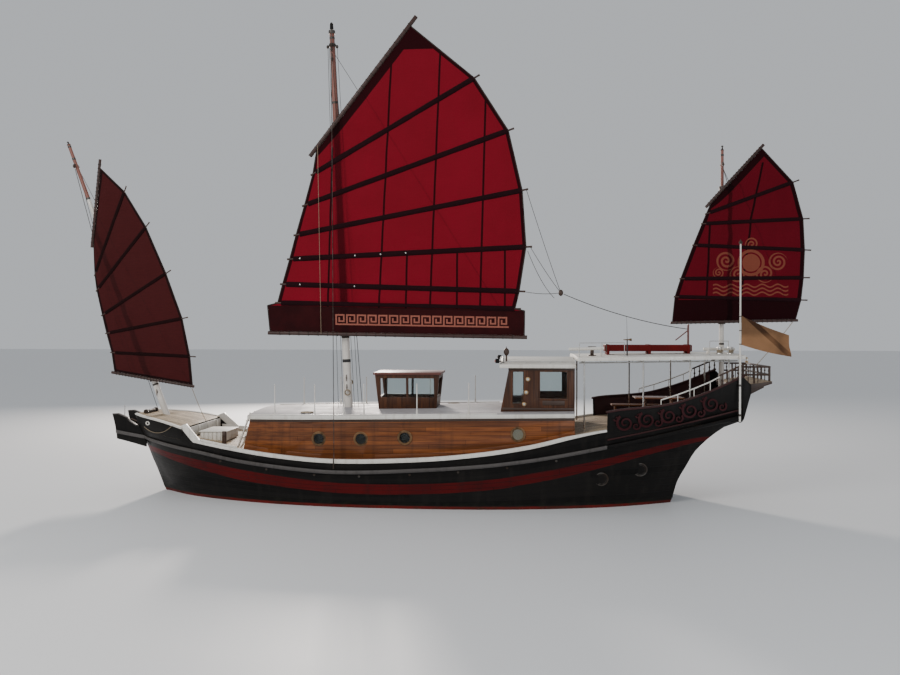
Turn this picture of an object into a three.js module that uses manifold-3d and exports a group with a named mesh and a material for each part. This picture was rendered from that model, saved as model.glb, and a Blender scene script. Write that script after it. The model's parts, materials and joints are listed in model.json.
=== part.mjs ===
// A three-masted chinese junk with battened sails, afloat.
// Millimetres. X points aft, Y to starboard, Z up; the origin is on the centreline at the waterline,
// about halfway along the waterline.

import * as THREE from "three";
import { mergeVertices } from "three/addons/utils/BufferGeometryUtils.js";
import Module from "manifold-3d";

const wasm = await Module();
wasm.setup();

// Driving dimensions
const seam = 0.3; // gap between pieces that touch
const runningGap = 0.6; // gap at pins, bores and parrel hoops
const boreSides = 32; // flats round a hole in which something turns
const sliver = 0.01; // share of a body below which a cut-off bit is dropped
const hullSteps = 36; // sections in the hull's skin
const keelFlat = 120; // half width of the hull's flat keel plank
const bilge = 2.1; // roundness of the bilge: 2 is an ellipse, more is boxier
const flare = 0.85; // how the topsides open out above the waterline
const tumble = 0.12; // outward lean of the planking above the deck
const plank = 80; // bulwark thickness
const wallThick = 60; // cabin and wheelhouse walls
const wingThick = 75; // planks of the bow wings

// The hull's end profiles: x of the planking at a height z.
const stemProfile = [
  { z: -1350, x: -6850 },
  { z: -600, x: -7620 },
  { z: 0, x: -8050 },
  { z: 350, x: -8150 },
  { z: 780, x: -8270 },
  { z: 1070, x: -8370 },
  { z: 1440, x: -8480 },
  { z: 2500, x: -8880 },
];
const sternProfile = [
  { z: -1350, x: 6700 },
  { z: -400, x: 7550 },
  { z: 0, x: 7870 },
  { z: 360, x: 7955 },
  { z: 720, x: 8040 },
  { z: 1200, x: 8270 },
  { z: 1620, x: 8480 },
  { z: 1970, x: 8785 },
  { z: 2170, x: 9005 },
  { z: 2330, x: 9200 },
  { z: 2460, x: 9460 },
  { z: 2550, x: 9720 },
  { z: 2600, x: 9800 },
];

// The hull's sections, from the stem at share 0 to the stern at share 1: height of the deck edge,
// half breadth there, half breadth at the waterline, and depth of the keel plank.
const sections = [
  { share: 0, deck: 2095, beam: 620, water: 90, keel: -150 },
  { share: 0.025, deck: 2010, beam: 1030, water: 400, keel: -560 },
  { share: 0.063, deck: 1910, beam: 1400, water: 850, keel: -900 },
  { share: 0.111, deck: 1805, beam: 1740, water: 1250, keel: -1130 },
  { share: 0.184, deck: 1620, beam: 2080, water: 1690, keel: -1270 },
  { share: 0.267, deck: 1440, beam: 2330, water: 2050, keel: -1330 },
  { share: 0.371, deck: 1320, beam: 2510, water: 2310, keel: -1350 },
  { share: 0.485, deck: 1357, beam: 2600, water: 2400, keel: -1350 },
  { share: 0.598, deck: 1560, beam: 2600, water: 2400, keel: -1330 },
  { share: 0.709, deck: 1900, beam: 2500, water: 2270, keel: -1220 },
  { share: 0.811, deck: 2255, beam: 2320, water: 2000, keel: -1040 },
  { share: 0.882, deck: 2350, beam: 2130, water: 1700, keel: -830 },
  { share: 0.94, deck: 2440, beam: 1930, water: 1330, keel: -560 },
  { share: 1, deck: 2550, beam: 1680, water: 860, keel: -120 },
];

// The rub rail's centre line, the foredeck's top and the aft bulwark's top edge: z at a place x.
const rubLine = [
  { x: -8750, z: 1800 },
  { x: -7310, z: 1600 },
  { x: -6260, z: 1470 },
  { x: -4940, z: 1270 },
  { x: -2560, z: 1070 },
  { x: -1270, z: 1065 },
  { x: 1570, z: 1290 },
  { x: 4510, z: 1620 },
  { x: 7020, z: 2060 },
  { x: 9740, z: 2680 },
];
const foredeckTop = [
  { x: -9200, z: 2570 },
  { x: -8800, z: 2520 },
  { x: -7820, z: 2395 },
  { x: -7260, z: 2285 },
  { x: -6880, z: 2190 },
];
const foredeck = { from: -8800, to: -6880, rake: 70 }; // rake: how far its front foot stands back
const bulwarkTop = [
  { x: 5800, z: 2830 },
  { x: 6140, z: 2890 },
  { x: 7610, z: 3050 },
  { x: 8700, z: 3380 },
  { x: 9800, z: 3860 },
];
const sheerStrip = { from: -6880, to: 5840, height: 140, proud: 30, width: 120 };
const breast = { high: 2190, slope: 1.02 }; // the strip's fall from the foredeck's break

// Trunk cabin: half width of its outside at a place x, and its straight top line.
const cabinPlan = [
  { x: -5000, half: 1630 },
  { x: -3000, half: 1880 },
  { x: 0, half: 1930 },
  { x: 4950, half: 1950 },
];
const cabin = { front: -4780, rake: 220, aft: 4950, topFront: 2480, topAft: 2630, slab: 120, camber: 80 };
const cabinEave = 70;
const portholeRadius = 190;
const portholes = [
  { x: -2610, z: 1940 },
  { x: -1340, z: 1950 },
  { x: -20, z: 2000 },
  { x: 3310, z: 2130 },
];

// Deck box on the cabin top, flared towards its rim.
const deckBox = {
  from: -1000,
  to: 780,
  half: 640,
  foot: 2640,
  top: 3790,
  lean: 110, // how far the sides lean out at the top
  frame: 70,
  sill: 3090,
  head: 110, // height of the frame over its windows
  post: 60,
  rim: 70,
};

// Wheelhouse
const house = { front: 2780, frontTop: 3040, aft: 4980, half: 1500, eave: 4050, roofEdge: 110, crown: 180 };
const houseRoof = { from: 2760, to: 5010, half: 1640 };
const sideWindow = { from: 3960, to: 4750, low: 3150, high: 3940 };
const quarterWindow = { from: 3150, to: 3480, low: 3000, high: 3940 };
const door = {
  half: 335,
  low: 2360, // over a sill that clears the rising deck
  high: 3940,
  thick: 50,
  gap: 5,
  pin: 12,
  knuckle: 60,
  hinges: [2850, 3650],
};
const doorWindow = { half: 200, low: 3180, high: 3760 };

// Aft canopy
const canopy = { from: 5040, to: 9800, half: 1900, lowFrom: 4270, lowTo: 4350, thick: 100 };
const canopyPosts = [5250, 6960, 8300, 9400];
const canopyPostSide = 1600;
const postRadius = 26;

// Masts: foot and head on the centreline, with the radius at each.
const masts = {
  fore: { foot: { x: -7980, z: 2150 }, head: { x: -11340, z: 11230 }, footRadius: 105, headRadius: 50 },
  main: { foot: { x: -2025, z: 1345 }, head: { x: -2620, z: 14930 }, footRadius: 140, headRadius: 75 },
  mizzen: { foot: { x: 9560, z: 2500 }, head: { x: 9560, z: 10820 }, footRadius: 85, headRadius: 42 },
};
const mastSides = 24;

// Sails. Each outline goes up the luff, along the yard and down the leech, as x and z in the sail's
// plane; side is the plane's place to port. head is the pair of corners on the yard, foot the pair on
// the boom. Battens run from their luff end to their leech end.
const clothThick = 14;
const sails = {
  fore: {
    side: -260,
    luff: [[-9790, 4440], [-9980, 5140], [-10230, 6200], [-10340, 6740]],
    head: [[-10380, 7950], [-10130, 10380]],
    leech: [[-9340, 9630], [-8630, 8490], [-7970, 6990], [-7440, 5540], [-7190, 4320]],
    foot: [[-7110, 3410], [-9700, 3830]],
    battens: [
      { luff: [-10350, 7500], leech: [-9340, 9630] },
      { luff: [-10340, 6740], leech: [-8630, 8490] },
      { luff: [-10230, 6200], leech: [-7970, 6990] },
      { luff: [-9980, 5140], leech: [-7440, 5540] },
      { luff: [-9790, 4440], leech: [-7190, 4320] },
    ],
    battenRadius: 32,
    yard: { radius: 45, before: 120, after: 290 },
    boom: { radius: 45, before: 60, after: 90 },
  },
  main: {
    side: -380,
    luff: [[-4610, 5970], [-4280, 6040], [-4120, 6620], [-3890, 7410], [-3684, 8170], [-3410, 9100],
      [-3140, 10080]],
    head: [[-3020, 10800], [-20, 14620]],
    leech: [[1950, 12980], [3000, 11340], [3430, 9490], [3550, 7740], [3340, 6370], [3210, 5810],
      [3510, 5780]],
    foot: [[3500, 5010], [-4530, 5140]],
    battens: [
      { luff: [-3140, 10080], leech: [1950, 12980] },
      { luff: [-3410, 9100], leech: [3000, 11340] },
      { luff: [-3684, 8170], leech: [3430, 9490] },
      { luff: [-3890, 7410], leech: [3550, 7740] },
      { luff: [-4120, 6620], leech: [3340, 6370] },
      { luff: [-4280, 6000], leech: [3210, 5810] },
    ],
    battenRadius: 48,
    yard: { radius: 65, before: 260, after: 340 },
    boom: { radius: 60, before: 90, after: 60 },
  },
  mizzen: {
    side: -260,
    luff: [[8100, 6195], [8270, 6745], [8650, 7770], [8940, 8470]],
    head: [[9150, 9000], [10680, 10680]],
    leech: [[11600, 9650], [11890, 8640], [11950, 7600], [11920, 6760], [11850, 6085]],
    foot: [[11700, 5510], [8025, 5440]],
    battens: [
      { luff: [9020, 8700], leech: [11600, 9650] },
      { luff: [8840, 8300], leech: [11890, 8640] },
      { luff: [8650, 7770], leech: [11950, 7600] },
      { luff: [8270, 6745], leech: [11920, 6760] },
      { luff: [8100, 6195], leech: [11850, 6085] },
    ],
    battenRadius: 34,
    yard: { radius: 45, before: 150, after: 120 },
    boom: { radius: 42, before: 60, after: 60 },
  },
};
const battenTip = 160; // how far a batten passes the leech

// Rudder, propeller and keel
const keel = {
  half: 105, // half thickness
  forefoot: -6500,
  bend: -5600,
  flatFrom: 500,
  bottomFront: -1500,
  bottom: -1800,
  post: 6600, // aft face of the sternpost
  shoeEnd: 7620,
  shoe: 100,
};
const stock = { x: 7450, radius: 60, top: 350, pintle: 32 };
const screw = { x: 6780, z: -1120, radius: 390, hub: 72, shaft: 36, blades: 4, boss: 105 };

// Shared helpers

function place(table, key, at, column) {
  // Smooth value of one column of a table between its rows.
  const last = table.length - 1;
  let row = 0;
  while (row < last - 1 && at > table[row + 1][key]) row += 1;
  const a = table[row];
  const b = table[row + 1];
  const before = table[Math.max(row - 1, 0)];
  const after = table[Math.min(row + 2, last)];
  const span = b[key] - a[key];
  const t = THREE.MathUtils.clamp((at - a[key]) / span, 0, 1);
  const slopeA = ((b[column] - before[column]) / (b[key] - before[key])) * span;
  const slopeB = ((after[column] - a[column]) / (after[key] - a[key])) * span;
  const t2 = t * t;
  const t3 = t2 * t;
  return (
    (2 * t3 - 3 * t2 + 1) * a[column] +
    (t3 - 2 * t2 + t) * slopeA +
    (3 * t2 - 2 * t3) * b[column] +
    (t3 - t2) * slopeB
  );
}

const mix = THREE.MathUtils.lerp;

function solid(geometry) {
  const bare = geometry.clone();
  bare.deleteAttribute("normal");
  bare.deleteAttribute("uv");
  const merged = mergeVertices(bare, 1e-4);
  return new wasm.Manifold(
    new wasm.Mesh({
      numProp: 3,
      vertProperties: new Float32Array(merged.attributes.position.array),
      triVerts: new Uint32Array(merged.index.array),
    }),
  );
}

function join(solids) {
  return solids.reduce((whole, next) => whole.add(next));
}

function cut(body, tools) {
  // What is left of a body after its neighbours are taken out, without loose slivers at the seams.
  const rest = tools.reduce((left, tool) => left.subtract(tool), body);
  const whole = rest.volume();
  const kept = rest.decompose().filter((bit) => bit.volume() > sliver * whole);
  return join(kept);
}

function loft(rings) {
  // Closed skin through rings of equally many points, with a fan over each end.
  const count = rings[0].length;
  const points = rings.flat();
  const faces = [];
  for (let r = 0; r < rings.length - 1; r += 1) {
    for (let i = 0; i < count; i += 1) {
      const j = (i + 1) % count;
      const a = r * count + i;
      const b = r * count + j;
      faces.push([a, b, b + count], [a, b + count, a + count]);
    }
  }
  const ends = [rings[0], rings[rings.length - 1]];
  ends.forEach((ring, end) => {
    const centre = new THREE.Vector3();
    ring.forEach((point) => centre.add(point));
    points.push(centre.divideScalar(count));
    const hub = points.length - 1;
    const first = end === 0 ? 0 : (rings.length - 1) * count;
    for (let i = 0; i < count; i += 1) {
      const j = (i + 1) % count;
      if (end === 0) faces.push([hub, first + j, first + i]);
      else faces.push([hub, first + i, first + j]);
    }
  });
  let volume = 0;
  faces.forEach(([a, b, c]) => {
    volume += points[a].dot(new THREE.Vector3().crossVectors(points[b], points[c]));
  });
  if (volume < 0) faces.forEach((face) => face.reverse());
  const geometry = new THREE.BufferGeometry();
  const numbers = points.flatMap((p) => p.toArray());
  geometry.setAttribute("position", new THREE.Float32BufferAttribute(numbers, 3));
  geometry.setIndex(faces.flat());
  return solid(geometry);
}

function point(x, y, z) {
  return new THREE.Vector3(x, y, z);
}

function box(x0, x1, y0, y1, z0, z1) {
  const geometry = new THREE.BoxGeometry(x1 - x0, y1 - y0, z1 - z0);
  geometry.translate((x0 + x1) / 2, (y0 + y1) / 2, (z0 + z1) / 2);
  return solid(geometry);
}

function rod(from, to, radiusFrom, radiusTo = radiusFrom, sides = 12) {
  // Round bar between two points, with an edge of its polygon square to the Y axis where it can be.
  const along = new THREE.Vector3().subVectors(to, from);
  const length = along.length();
  along.normalize();
  const across = Math.abs(along.y) > 0.9 ? point(0, 0, 1) : point(0, 1, 0);
  const side = new THREE.Vector3().crossVectors(along, across).normalize();
  const face = new THREE.Vector3().crossVectors(side, along);
  const geometry = new THREE.CylinderGeometry(radiusTo, radiusFrom, length, sides);
  geometry.applyMatrix4(new THREE.Matrix4().makeBasis(side, along, face));
  const middle = new THREE.Vector3().addVectors(from, to).multiplyScalar(0.5);
  geometry.translate(middle.x, middle.y, middle.z);
  return solid(geometry);
}

function bore(from, to, radius) {
  // Hole in which a bar of this radius turns freely.
  return rod(from, to, (radius + runningGap) / Math.cos(Math.PI / boreSides), undefined, boreSides);
}

function panel(outline, y, thick) {
  // Plate standing fore and aft: an x and z outline, y its middle plane.
  const shape = new THREE.Shape(outline.map(([x, z]) => new THREE.Vector2(x, z)));
  const geometry = new THREE.ExtrudeGeometry(shape, { depth: thick, bevelEnabled: false });
  geometry.rotateX(Math.PI / 2);
  geometry.translate(0, y + thick / 2, 0);
  return solid(geometry);
}

function wall({ from, to, low, high, outer, inner, steps = 16, rakeFrom = 0 }) {
  // Upright strip along the ship: low and high are its edges, outer and inner its faces at a place
  // x and a height z. rakeFrom moves the foot of its first end forward.
  const rings = [];
  for (let i = 0; i <= steps; i += 1) {
    const top = mix(from, to, i / steps);
    const foot = mix(from - rakeFrom, to, i / steps);
    const zLow = low(foot);
    const zHigh = high(top);
    rings.push([
      point(foot, outer(foot, zLow), zLow),
      point(top, outer(top, zHigh), zHigh),
      point(top, inner(top, zHigh), zHigh),
      point(foot, inner(foot, zLow), zLow),
    ]);
  }
  return loft(rings);
}

function mirrored(body) {
  return body.mirror([0, 1, 0]);
}

function bothSides(rings) {
  // Loft of a starboard half, with its mirror image.
  const half = loft(rings);
  return half.add(mirrored(half));
}

const ship = new THREE.Group();

const finishes = {
  blackHull: { color: 0x14120f, roughness: 0.55, metalness: 0 },
  maroon: { color: 0x4a1512, roughness: 0.6, metalness: 0 },
  white: { color: 0xd9d5cb, roughness: 0.5, metalness: 0 },
  grey: { color: 0x77726a, roughness: 0.6, metalness: 0 },
  varnish: { color: 0x8a4b22, roughness: 0.35, metalness: 0 },
  darkWood: { color: 0x3d2415, roughness: 0.45, metalness: 0 },
  deck: { color: 0xb7a88c, roughness: 0.75, metalness: 0 },
  mast: { color: 0xd8d0c4, roughness: 0.45, metalness: 0 },
  spar: { color: 0x2b1a14, roughness: 0.6, metalness: 0 },
  sail: { color: 0x8f1a1c, roughness: 0.85, metalness: 0 },
  foreSail: { color: 0x5a1b16, roughness: 0.85, metalness: 0 },
  red: { color: 0x7d1c17, roughness: 0.5, metalness: 0 },
  steel: { color: 0x9a9a98, roughness: 0.3, metalness: 0.9 },
  bronze: { color: 0x9b7340, roughness: 0.35, metalness: 0.9 },
  flag: { color: 0xe6dcc4, roughness: 0.9, metalness: 0 },
};

function add(name, body, finish) {
  const { vertProperties, triVerts } = body.getMesh();
  const geometry = new THREE.BufferGeometry();
  geometry.setAttribute("position", new THREE.Float32BufferAttribute(vertProperties, 3));
  geometry.setIndex(Array.from(triVerts));
  geometry.computeVertexNormals();
  const mesh = new THREE.Mesh(geometry, new THREE.MeshStandardMaterial(finishes[finish]));
  mesh.name = name;
  ship.add(mesh);
}

// Hull

function endX(profile, z) {
  return place(profile, "z", z, "x");
}

function shareAt(x, z) {
  const stem = endX(stemProfile, z);
  return (x - stem) / (endX(sternProfile, z) - stem);
}

function sectionAt(share) {
  const at = {};
  ["deck", "beam", "water", "keel"].forEach((column) => {
    at[column] = place(sections, "share", share, column);
  });
  return at;
}

function breadth(section, z) {
  // Half breadth of a section at a height.
  if (z < 0) {
    const up = THREE.MathUtils.clamp(1 - z / section.keel, 0, 1);
    return keelFlat + Math.max(section.water - keelFlat, 0) * (1 - (1 - up) ** bilge) ** (1 / bilge);
  }
  const low = Math.max(section.water, keelFlat);
  if (z <= section.deck) return low + (section.beam - low) * (z / section.deck) ** flare;
  return section.beam + tumble * (z - section.deck);
}

function hullSide(x, z) {
  return breadth(sectionAt(THREE.MathUtils.clamp(shareAt(x, z), 0, 1)), z);
}

function deckAt(x) {
  let z = 2000;
  for (let i = 0; i < 4; i += 1) z = sectionAt(THREE.MathUtils.clamp(shareAt(x, z), 0, 1)).deck;
  return z;
}

const belowWater = [0, 0.12, 0.3, 0.5, 0.7, 0.86]; // shares of the depth
const aboveWater = [0, 0.25, 0.5, 0.75, 1]; // shares of the freeboard

function hullBody(grow) {
  const rings = [];
  for (let i = 0; i <= hullSteps; i += 1) {
    const share = i / hullSteps;
    const section = sectionAt(share);
    const heights = [
      ...belowWater.map((part) => section.keel * (1 - part)),
      ...aboveWater.map((part) => section.deck * part),
    ];
    const half = heights.map((z, level) => {
      const top = level === heights.length - 1;
      const bottom = level === 0;
      const x = mix(endX(stemProfile, z), endX(sternProfile, z), share);
      const end = (i === 0 ? -grow : 0) + (i === hullSteps ? grow : 0);
      return point(x + end, breadth(section, z) + grow, z + (top ? grow : 0) - (bottom ? grow : 0));
    });
    const bottom = half[0];
    const top = half[half.length - 1];
    rings.push([point(bottom.x, 0, bottom.z), ...half, point(top.x, 0, top.z)]);
  }
  return bothSides(rings);
}

const hullGrown = hullBody(seam);
const rudderBore = bore(point(stock.x, 0, -900), point(stock.x, 0, stock.top + 10), stock.radius);
add("hull", cut(hullBody(0), [rudderBore]), "blackHull");

// Keel, with the shoe that carries the rudder's heel and the boss for the propeller shaft

const keelTopPoints = [];
for (let i = 0; i <= hullSteps; i += 1) {
  const share = i / hullSteps;
  const z = sectionAt(share).keel;
  const x = mix(endX(stemProfile, z), endX(sternProfile, z), share);
  if (x > keel.forefoot && x < keel.post) keelTopPoints.push([x, z + 40]);
}
const keelOutline = [
  ...keelTopPoints,
  [keel.post, keelTopPoints[keelTopPoints.length - 1][1]],
  [keel.post, keel.bottom + keel.shoe],
  [keel.shoeEnd, keel.bottom + keel.shoe],
  [keel.shoeEnd, keel.bottom],
  [keel.flatFrom, keel.bottom],
  [keel.bend, keel.bottomFront - 160],
  [keel.forefoot, keel.bottomFront + 200],
];
const boss = rod(point(keel.post - 300, 0, screw.z), point(keel.post + 20, 0, screw.z), screw.boss);
const shaftBore = bore(point(keel.post - 260, 0, screw.z), point(keel.post + 60, 0, screw.z), screw.shaft);
const pintleBore = bore(point(stock.x, 0, keel.bottom - 20), point(stock.x, 0, -1500), stock.pintle);
const keelBlank = panel(keelOutline, 0, keel.half * 2);
add("keel", cut(join([keelBlank, boss]), [hullGrown, shaftBore, pintleBore]), "blackHull");

// Rudder

const bladeOutline = [
  [stock.x - 110, -1685],
  [stock.x + 760, -1640],
  [stock.x + 700, -900],
  [stock.x + 560, -440],
  [stock.x - 110, -440],
];
const stockFoot = point(stock.x, 0, -1650);
const rudderStock = rod(stockFoot, point(stock.x, 0, stock.top), stock.radius, undefined, 24);
const pintleFoot = point(stock.x, 0, keel.bottom + 10);
const pintle = rod(pintleFoot, point(stock.x, 0, -1600), stock.pintle, undefined, 24);
add("rudder", join([panel(bladeOutline, 0, 70), rudderStock, pintle]), "blackHull");

// Propeller

const hubFront = keel.post + 30;
const propellerParts = [
  rod(point(hubFront, 0, screw.z), point(hubFront + 240, 0, screw.z), screw.hub, screw.hub, 24),
  rod(point(hubFront + 240, 0, screw.z), point(hubFront + 330, 0, screw.z), screw.hub, 24, 24),
  rod(point(keel.post - 240, 0, screw.z), point(hubFront + 20, 0, screw.z), screw.shaft, undefined, 24),
];
for (let i = 0; i < screw.blades; i += 1) {
  const outline = new THREE.Shape();
  outline.moveTo(-50, 40);
  outline.quadraticCurveTo(-170, 260, -40, screw.radius);
  outline.quadraticCurveTo(60, screw.radius + 10, 110, 300);
  outline.quadraticCurveTo(140, 160, 50, 40);
  const blade = new THREE.ExtrudeGeometry(outline, { depth: 16, bevelEnabled: false, curveSegments: 4 });
  blade.translate(0, 0, -8);
  blade.rotateY(THREE.MathUtils.degToRad(58));
  blade.rotateX((i * 2 * Math.PI) / screw.blades + Math.PI / 4);
  blade.translate(screw.x, 0, screw.z);
  propellerParts.push(solid(blade));
}
add("propeller", join(propellerParts), "bronze");

// Rails along the hull, bow wings and foredeck

const railFront = -8500;
const rail = wall({
  from: railFront,
  to: 9700,
  low: (x) => place(rubLine, "x", x, "z") - 55,
  high: (x) => place(rubLine, "x", x, "z") + 55,
  outer: (x, z) => hullSide(x, z) + 65,
  inner: (x, z) => hullSide(x, z) - 60,
  steps: 24,
});
const breastAt = (x) => breast.high - breast.slope * (x - sheerStrip.from);
function stripBody(grow) {
  return wall({
    from: sheerStrip.from - grow,
    to: sheerStrip.to + grow,
    low: (x) => deckAt(x) - 20,
    high: (x) => Math.max(deckAt(x) + sheerStrip.height, breastAt(x)) + grow,
    outer: (x) => hullSide(x, deckAt(x)) + sheerStrip.proud + grow,
    inner: (x) => hullSide(x, deckAt(x)) + sheerStrip.proud - sheerStrip.width - grow,
    steps: 44,
  });
}

function foredeckBody(grow) {
  const rings = [];
  const steps = 10;
  for (let i = 0; i <= steps; i += 1) {
    const x = mix(foredeck.from - grow, foredeck.to + grow, i / steps);
    const foot = x + foredeck.rake * (1 - i / steps);
    const top = place(foredeckTop, "x", x, "z") + grow;
    const low = deckAt(foot) - 20;
    const wide = hullSide(x, top) + grow;
    const narrow = hullSide(foot, low) + grow;
    rings.push([point(foot, 0, low), point(foot, narrow, low), point(x, wide, top), point(x, 0, top)]);
  }
  return bothSides(rings);
}

function mastRod(mast, grow = 0, sides = mastSides) {
  const from = point(mast.foot.x, 0, mast.foot.z);
  const to = point(mast.head.x, 0, mast.head.z);
  const past = new THREE.Vector3().subVectors(to, from).setLength(grow);
  from.sub(past);
  to.add(past);
  const wide = grow ? 1 / Math.cos(Math.PI / sides) : 1;
  return rod(from, to, (mast.footRadius + grow) * wide, (mast.headRadius + grow) * wide, sides);
}

const foredeckGrown = foredeckBody(seam);
const foredeckCut = [hullGrown, mastRod(masts.fore, seam, boreSides)];
add("foredeck", cut(foredeckBody(0), foredeckCut), "white");

// Foot and head of the bow wing, as x and z, from its curved front edge to the rub rail.
const wingEdges = [
  { foot: [-9503, 1690], head: [-9624, 2475] },
  { foot: [-9400, 1668], head: [-9420, 2485] },
  { foot: [-9110, 1605], head: [-9110, 2370] },
  { foot: [-9050, 1590], head: [-9050, 2270] },
  { foot: [-8800, 1530], head: [-8800, 2115] },
  { foot: [railFront - seam, 1455], head: [railFront - seam, 2100] },
];
const wingFront = wingEdges[0].head[0];
const wingOuter = (x, z) => mix(500, 620, (x - wingFront) / (railFront - wingFront)) + 0.08 * (z - 1500);
const wingInner = (x, z) => wingOuter(x, z) - wingThick;
const wing = loft(
  wingEdges.map(({ foot, head }) => [
    point(foot[0], wingOuter(...foot), foot[1]),
    point(head[0], wingOuter(...head), head[1]),
    point(head[0], wingInner(...head), head[1]),
    point(foot[0], wingInner(...foot), foot[1]),
  ]),
);
const wingBody = cut(wing, [hullGrown, foredeckGrown]);
const platformGap = seam / Math.cos(0.1);
const platformThick = 60;
const platform = loft(
  [-9480, -8700].map((x) => {
    const z = mix(2000, 2040, (x + 9480) / 780);
    const low = wingInner(x, z) - platformGap;
    const high = wingInner(x, z + platformThick) - platformGap;
    return [point(x, low, z), point(x, high, z + platformThick), point(x, -high, z + platformThick),
      point(x, -low, z)];
  }),
);
const wingGrown = wing.translate([0, -seam, 0]);
const platformBody = cut(platform, [hullGrown, foredeckGrown, wingGrown, mirrored(wingGrown)]);
add("bow_platform", platformBody, "darkWood");

// Aft bulwarks, stern board and stern gallery

function bulwarkBody(grow) {
  return wall({
    from: 5845 - grow,
    to: 9780,
    low: (x) => deckAt(x) - 20,
    high: (x) => place(bulwarkTop, "x", x, "z") + grow,
    outer: (x, z) => hullSide(x, z) + grow,
    inner: (x, z) => hullSide(x, z) - plank - grow,
    steps: 18,
  });
}

const bulwarkGrown = bulwarkBody(seam);
const board = { low: 2500, high: 3400, foot: 9690, head: 9955, half: 1640, thick: 60 };
const sternBoard = loft(
  [board.low, board.high].map((z) => {
    const x = mix(board.foot, board.head, (z - board.low) / (board.high - board.low));
    const aft = x + board.thick;
    const half = board.half + 160;
    return [point(x, half, z), point(aft, half, z), point(aft, -half, z), point(x, -half, z)];
  }),
);
const bulwarkCuts = [hullGrown, bulwarkGrown, mirrored(bulwarkGrown)];
const trimTop = board.high + 10;
const boardTrim = box(board.foot - 90, board.head + 200, -board.half, board.half, board.low - 100, trimTop);
add("stern_board", cut(sternBoard.intersect(boardTrim), bulwarkCuts), "blackHull");

const gallery = { from: 9700, to: 10700, half: 1350, edge: 3610, top: 3690 };
const galleryOutline = [
  [gallery.from, board.high + seam],
  [board.head + 110, board.high + seam],
  [gallery.to, gallery.edge],
  [gallery.to, gallery.top],
  [gallery.from, gallery.top - 140],
];
const galleryFloor = panel(galleryOutline, 0, gallery.half * 2);
add("stern_gallery", cut(galleryFloor, [mastRod(masts.mizzen, seam, boreSides)]), "darkWood");

const galleryRail = { side: 1290, aft: 10640, heights: [3870, 4100], radius: 30, post: 28 };
const galleryRailParts = [];
const galleryPosts = [
  { x: 9860, y: galleryRail.side },
  { x: 10200, y: galleryRail.side },
  { x: galleryRail.aft, y: galleryRail.side },
  { x: galleryRail.aft, y: 430 },
];
const galleryBar = (from, to) => rod(from, to, galleryRail.radius, galleryRail.radius, 6);
[-1, 1].forEach((side) => {
  galleryPosts.forEach(({ x, y }) => {
    const foot = point(x, side * y, gallery.top - 160);
    const head = point(x, side * y, galleryRail.heights[1]);
    galleryRailParts.push(rod(foot, head, galleryRail.post, galleryRail.post, 6));
  });
  galleryRail.heights.forEach((z) => {
    const y = side * galleryRail.side;
    galleryRailParts.push(galleryBar(point(9830, y, z), point(galleryRail.aft + 20, y, z)));
  });
});
galleryRail.heights.forEach((z) => {
  const reach = galleryRail.side + 20;
  galleryRailParts.push(galleryBar(point(galleryRail.aft, -reach, z), point(galleryRail.aft, reach, z)));
});
const galleryGrown = panel(galleryOutline.map(([x, z]) => [x, z + seam]), 0, gallery.half * 2);
add("stern_gallery_rail", cut(join(galleryRailParts), [galleryGrown]), "darkWood");

const sides = [
  { name: "port", turn: mirrored },
  { name: "starboard", turn: (body) => body },
];

sides.forEach(({ name, turn }) => {
  add(`rub_rail_${name}`, turn(cut(rail, [hullGrown, bulwarkGrown])), "grey");
  add(`sheer_strip_${name}`, turn(cut(stripBody(0), [hullGrown, foredeckGrown])), "white");
  add(`bow_wing_${name}`, turn(wingBody), "blackHull");
  add(`bulwark_${name}`, turn(cut(bulwarkBody(0), [hullGrown])), "blackHull");
});

// Trunk cabin

function cabinTopLine(x) {
  return mix(cabin.topFront, cabin.topAft, (x - cabin.front) / (cabin.aft - cabin.front));
}

function cabinHalf(x) {
  return place(cabinPlan, "x", x, "half");
}

function cabinTopBody(grow) {
  const rings = [];
  const steps = 16;
  for (let i = 0; i <= steps; i += 1) {
    const x = mix(cabin.front - cabinEave - grow, cabin.aft + grow, i / steps);
    const low = cabinTopLine(x) + seam - grow;
    const edge = cabinTopLine(x) + cabin.slab + grow;
    const half = cabinHalf(x) + cabinEave + grow;
    rings.push([point(x, 0, low), point(x, half, low), point(x, half, edge),
      point(x, half / 2, edge + 0.75 * cabin.camber), point(x, 0, edge + cabin.camber)]);
  }
  return bothSides(rings);
}

const cabinSide = wall({
  from: cabin.front,
  to: cabin.aft,
  low: (x) => deckAt(x) - 20,
  high: cabinTopLine,
  outer: (x) => cabinHalf(x),
  inner: (x) => cabinHalf(x) - wallThick,
  steps: 8,
  rakeFrom: cabin.rake,
});
const portholeCuts = portholes.map(({ x, z }) =>
  rod(point(x, 1500, z), point(x, 2300, z), portholeRadius, undefined, 16),
);
sides.forEach(({ name, turn }) => {
  add(`cabin_side_${name}`, turn(cut(cabinSide, [hullGrown, ...portholeCuts])), "varnish");
});

const cabinFoot = cabin.front - cabin.rake;
const frontTopHalf = cabinHalf(cabin.front) - wallThick - 1;
const frontFootHalf = cabinHalf(cabinFoot) - wallThick - 1;
const frontDeck = deckAt(cabinFoot) - 60;
const frontTop = cabin.topFront - 1;
const cabinFront = loft(
  [0, wallThick].map((deep) => [
    point(cabinFoot + deep, frontFootHalf, frontDeck),
    point(cabin.front + deep, frontTopHalf, frontTop),
    point(cabin.front + deep, -frontTopHalf, frontTop),
    point(cabinFoot + deep, -frontFootHalf, frontDeck),
  ]),
);
add("cabin_front", cut(cabinFront, [hullGrown]), "varnish");

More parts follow.
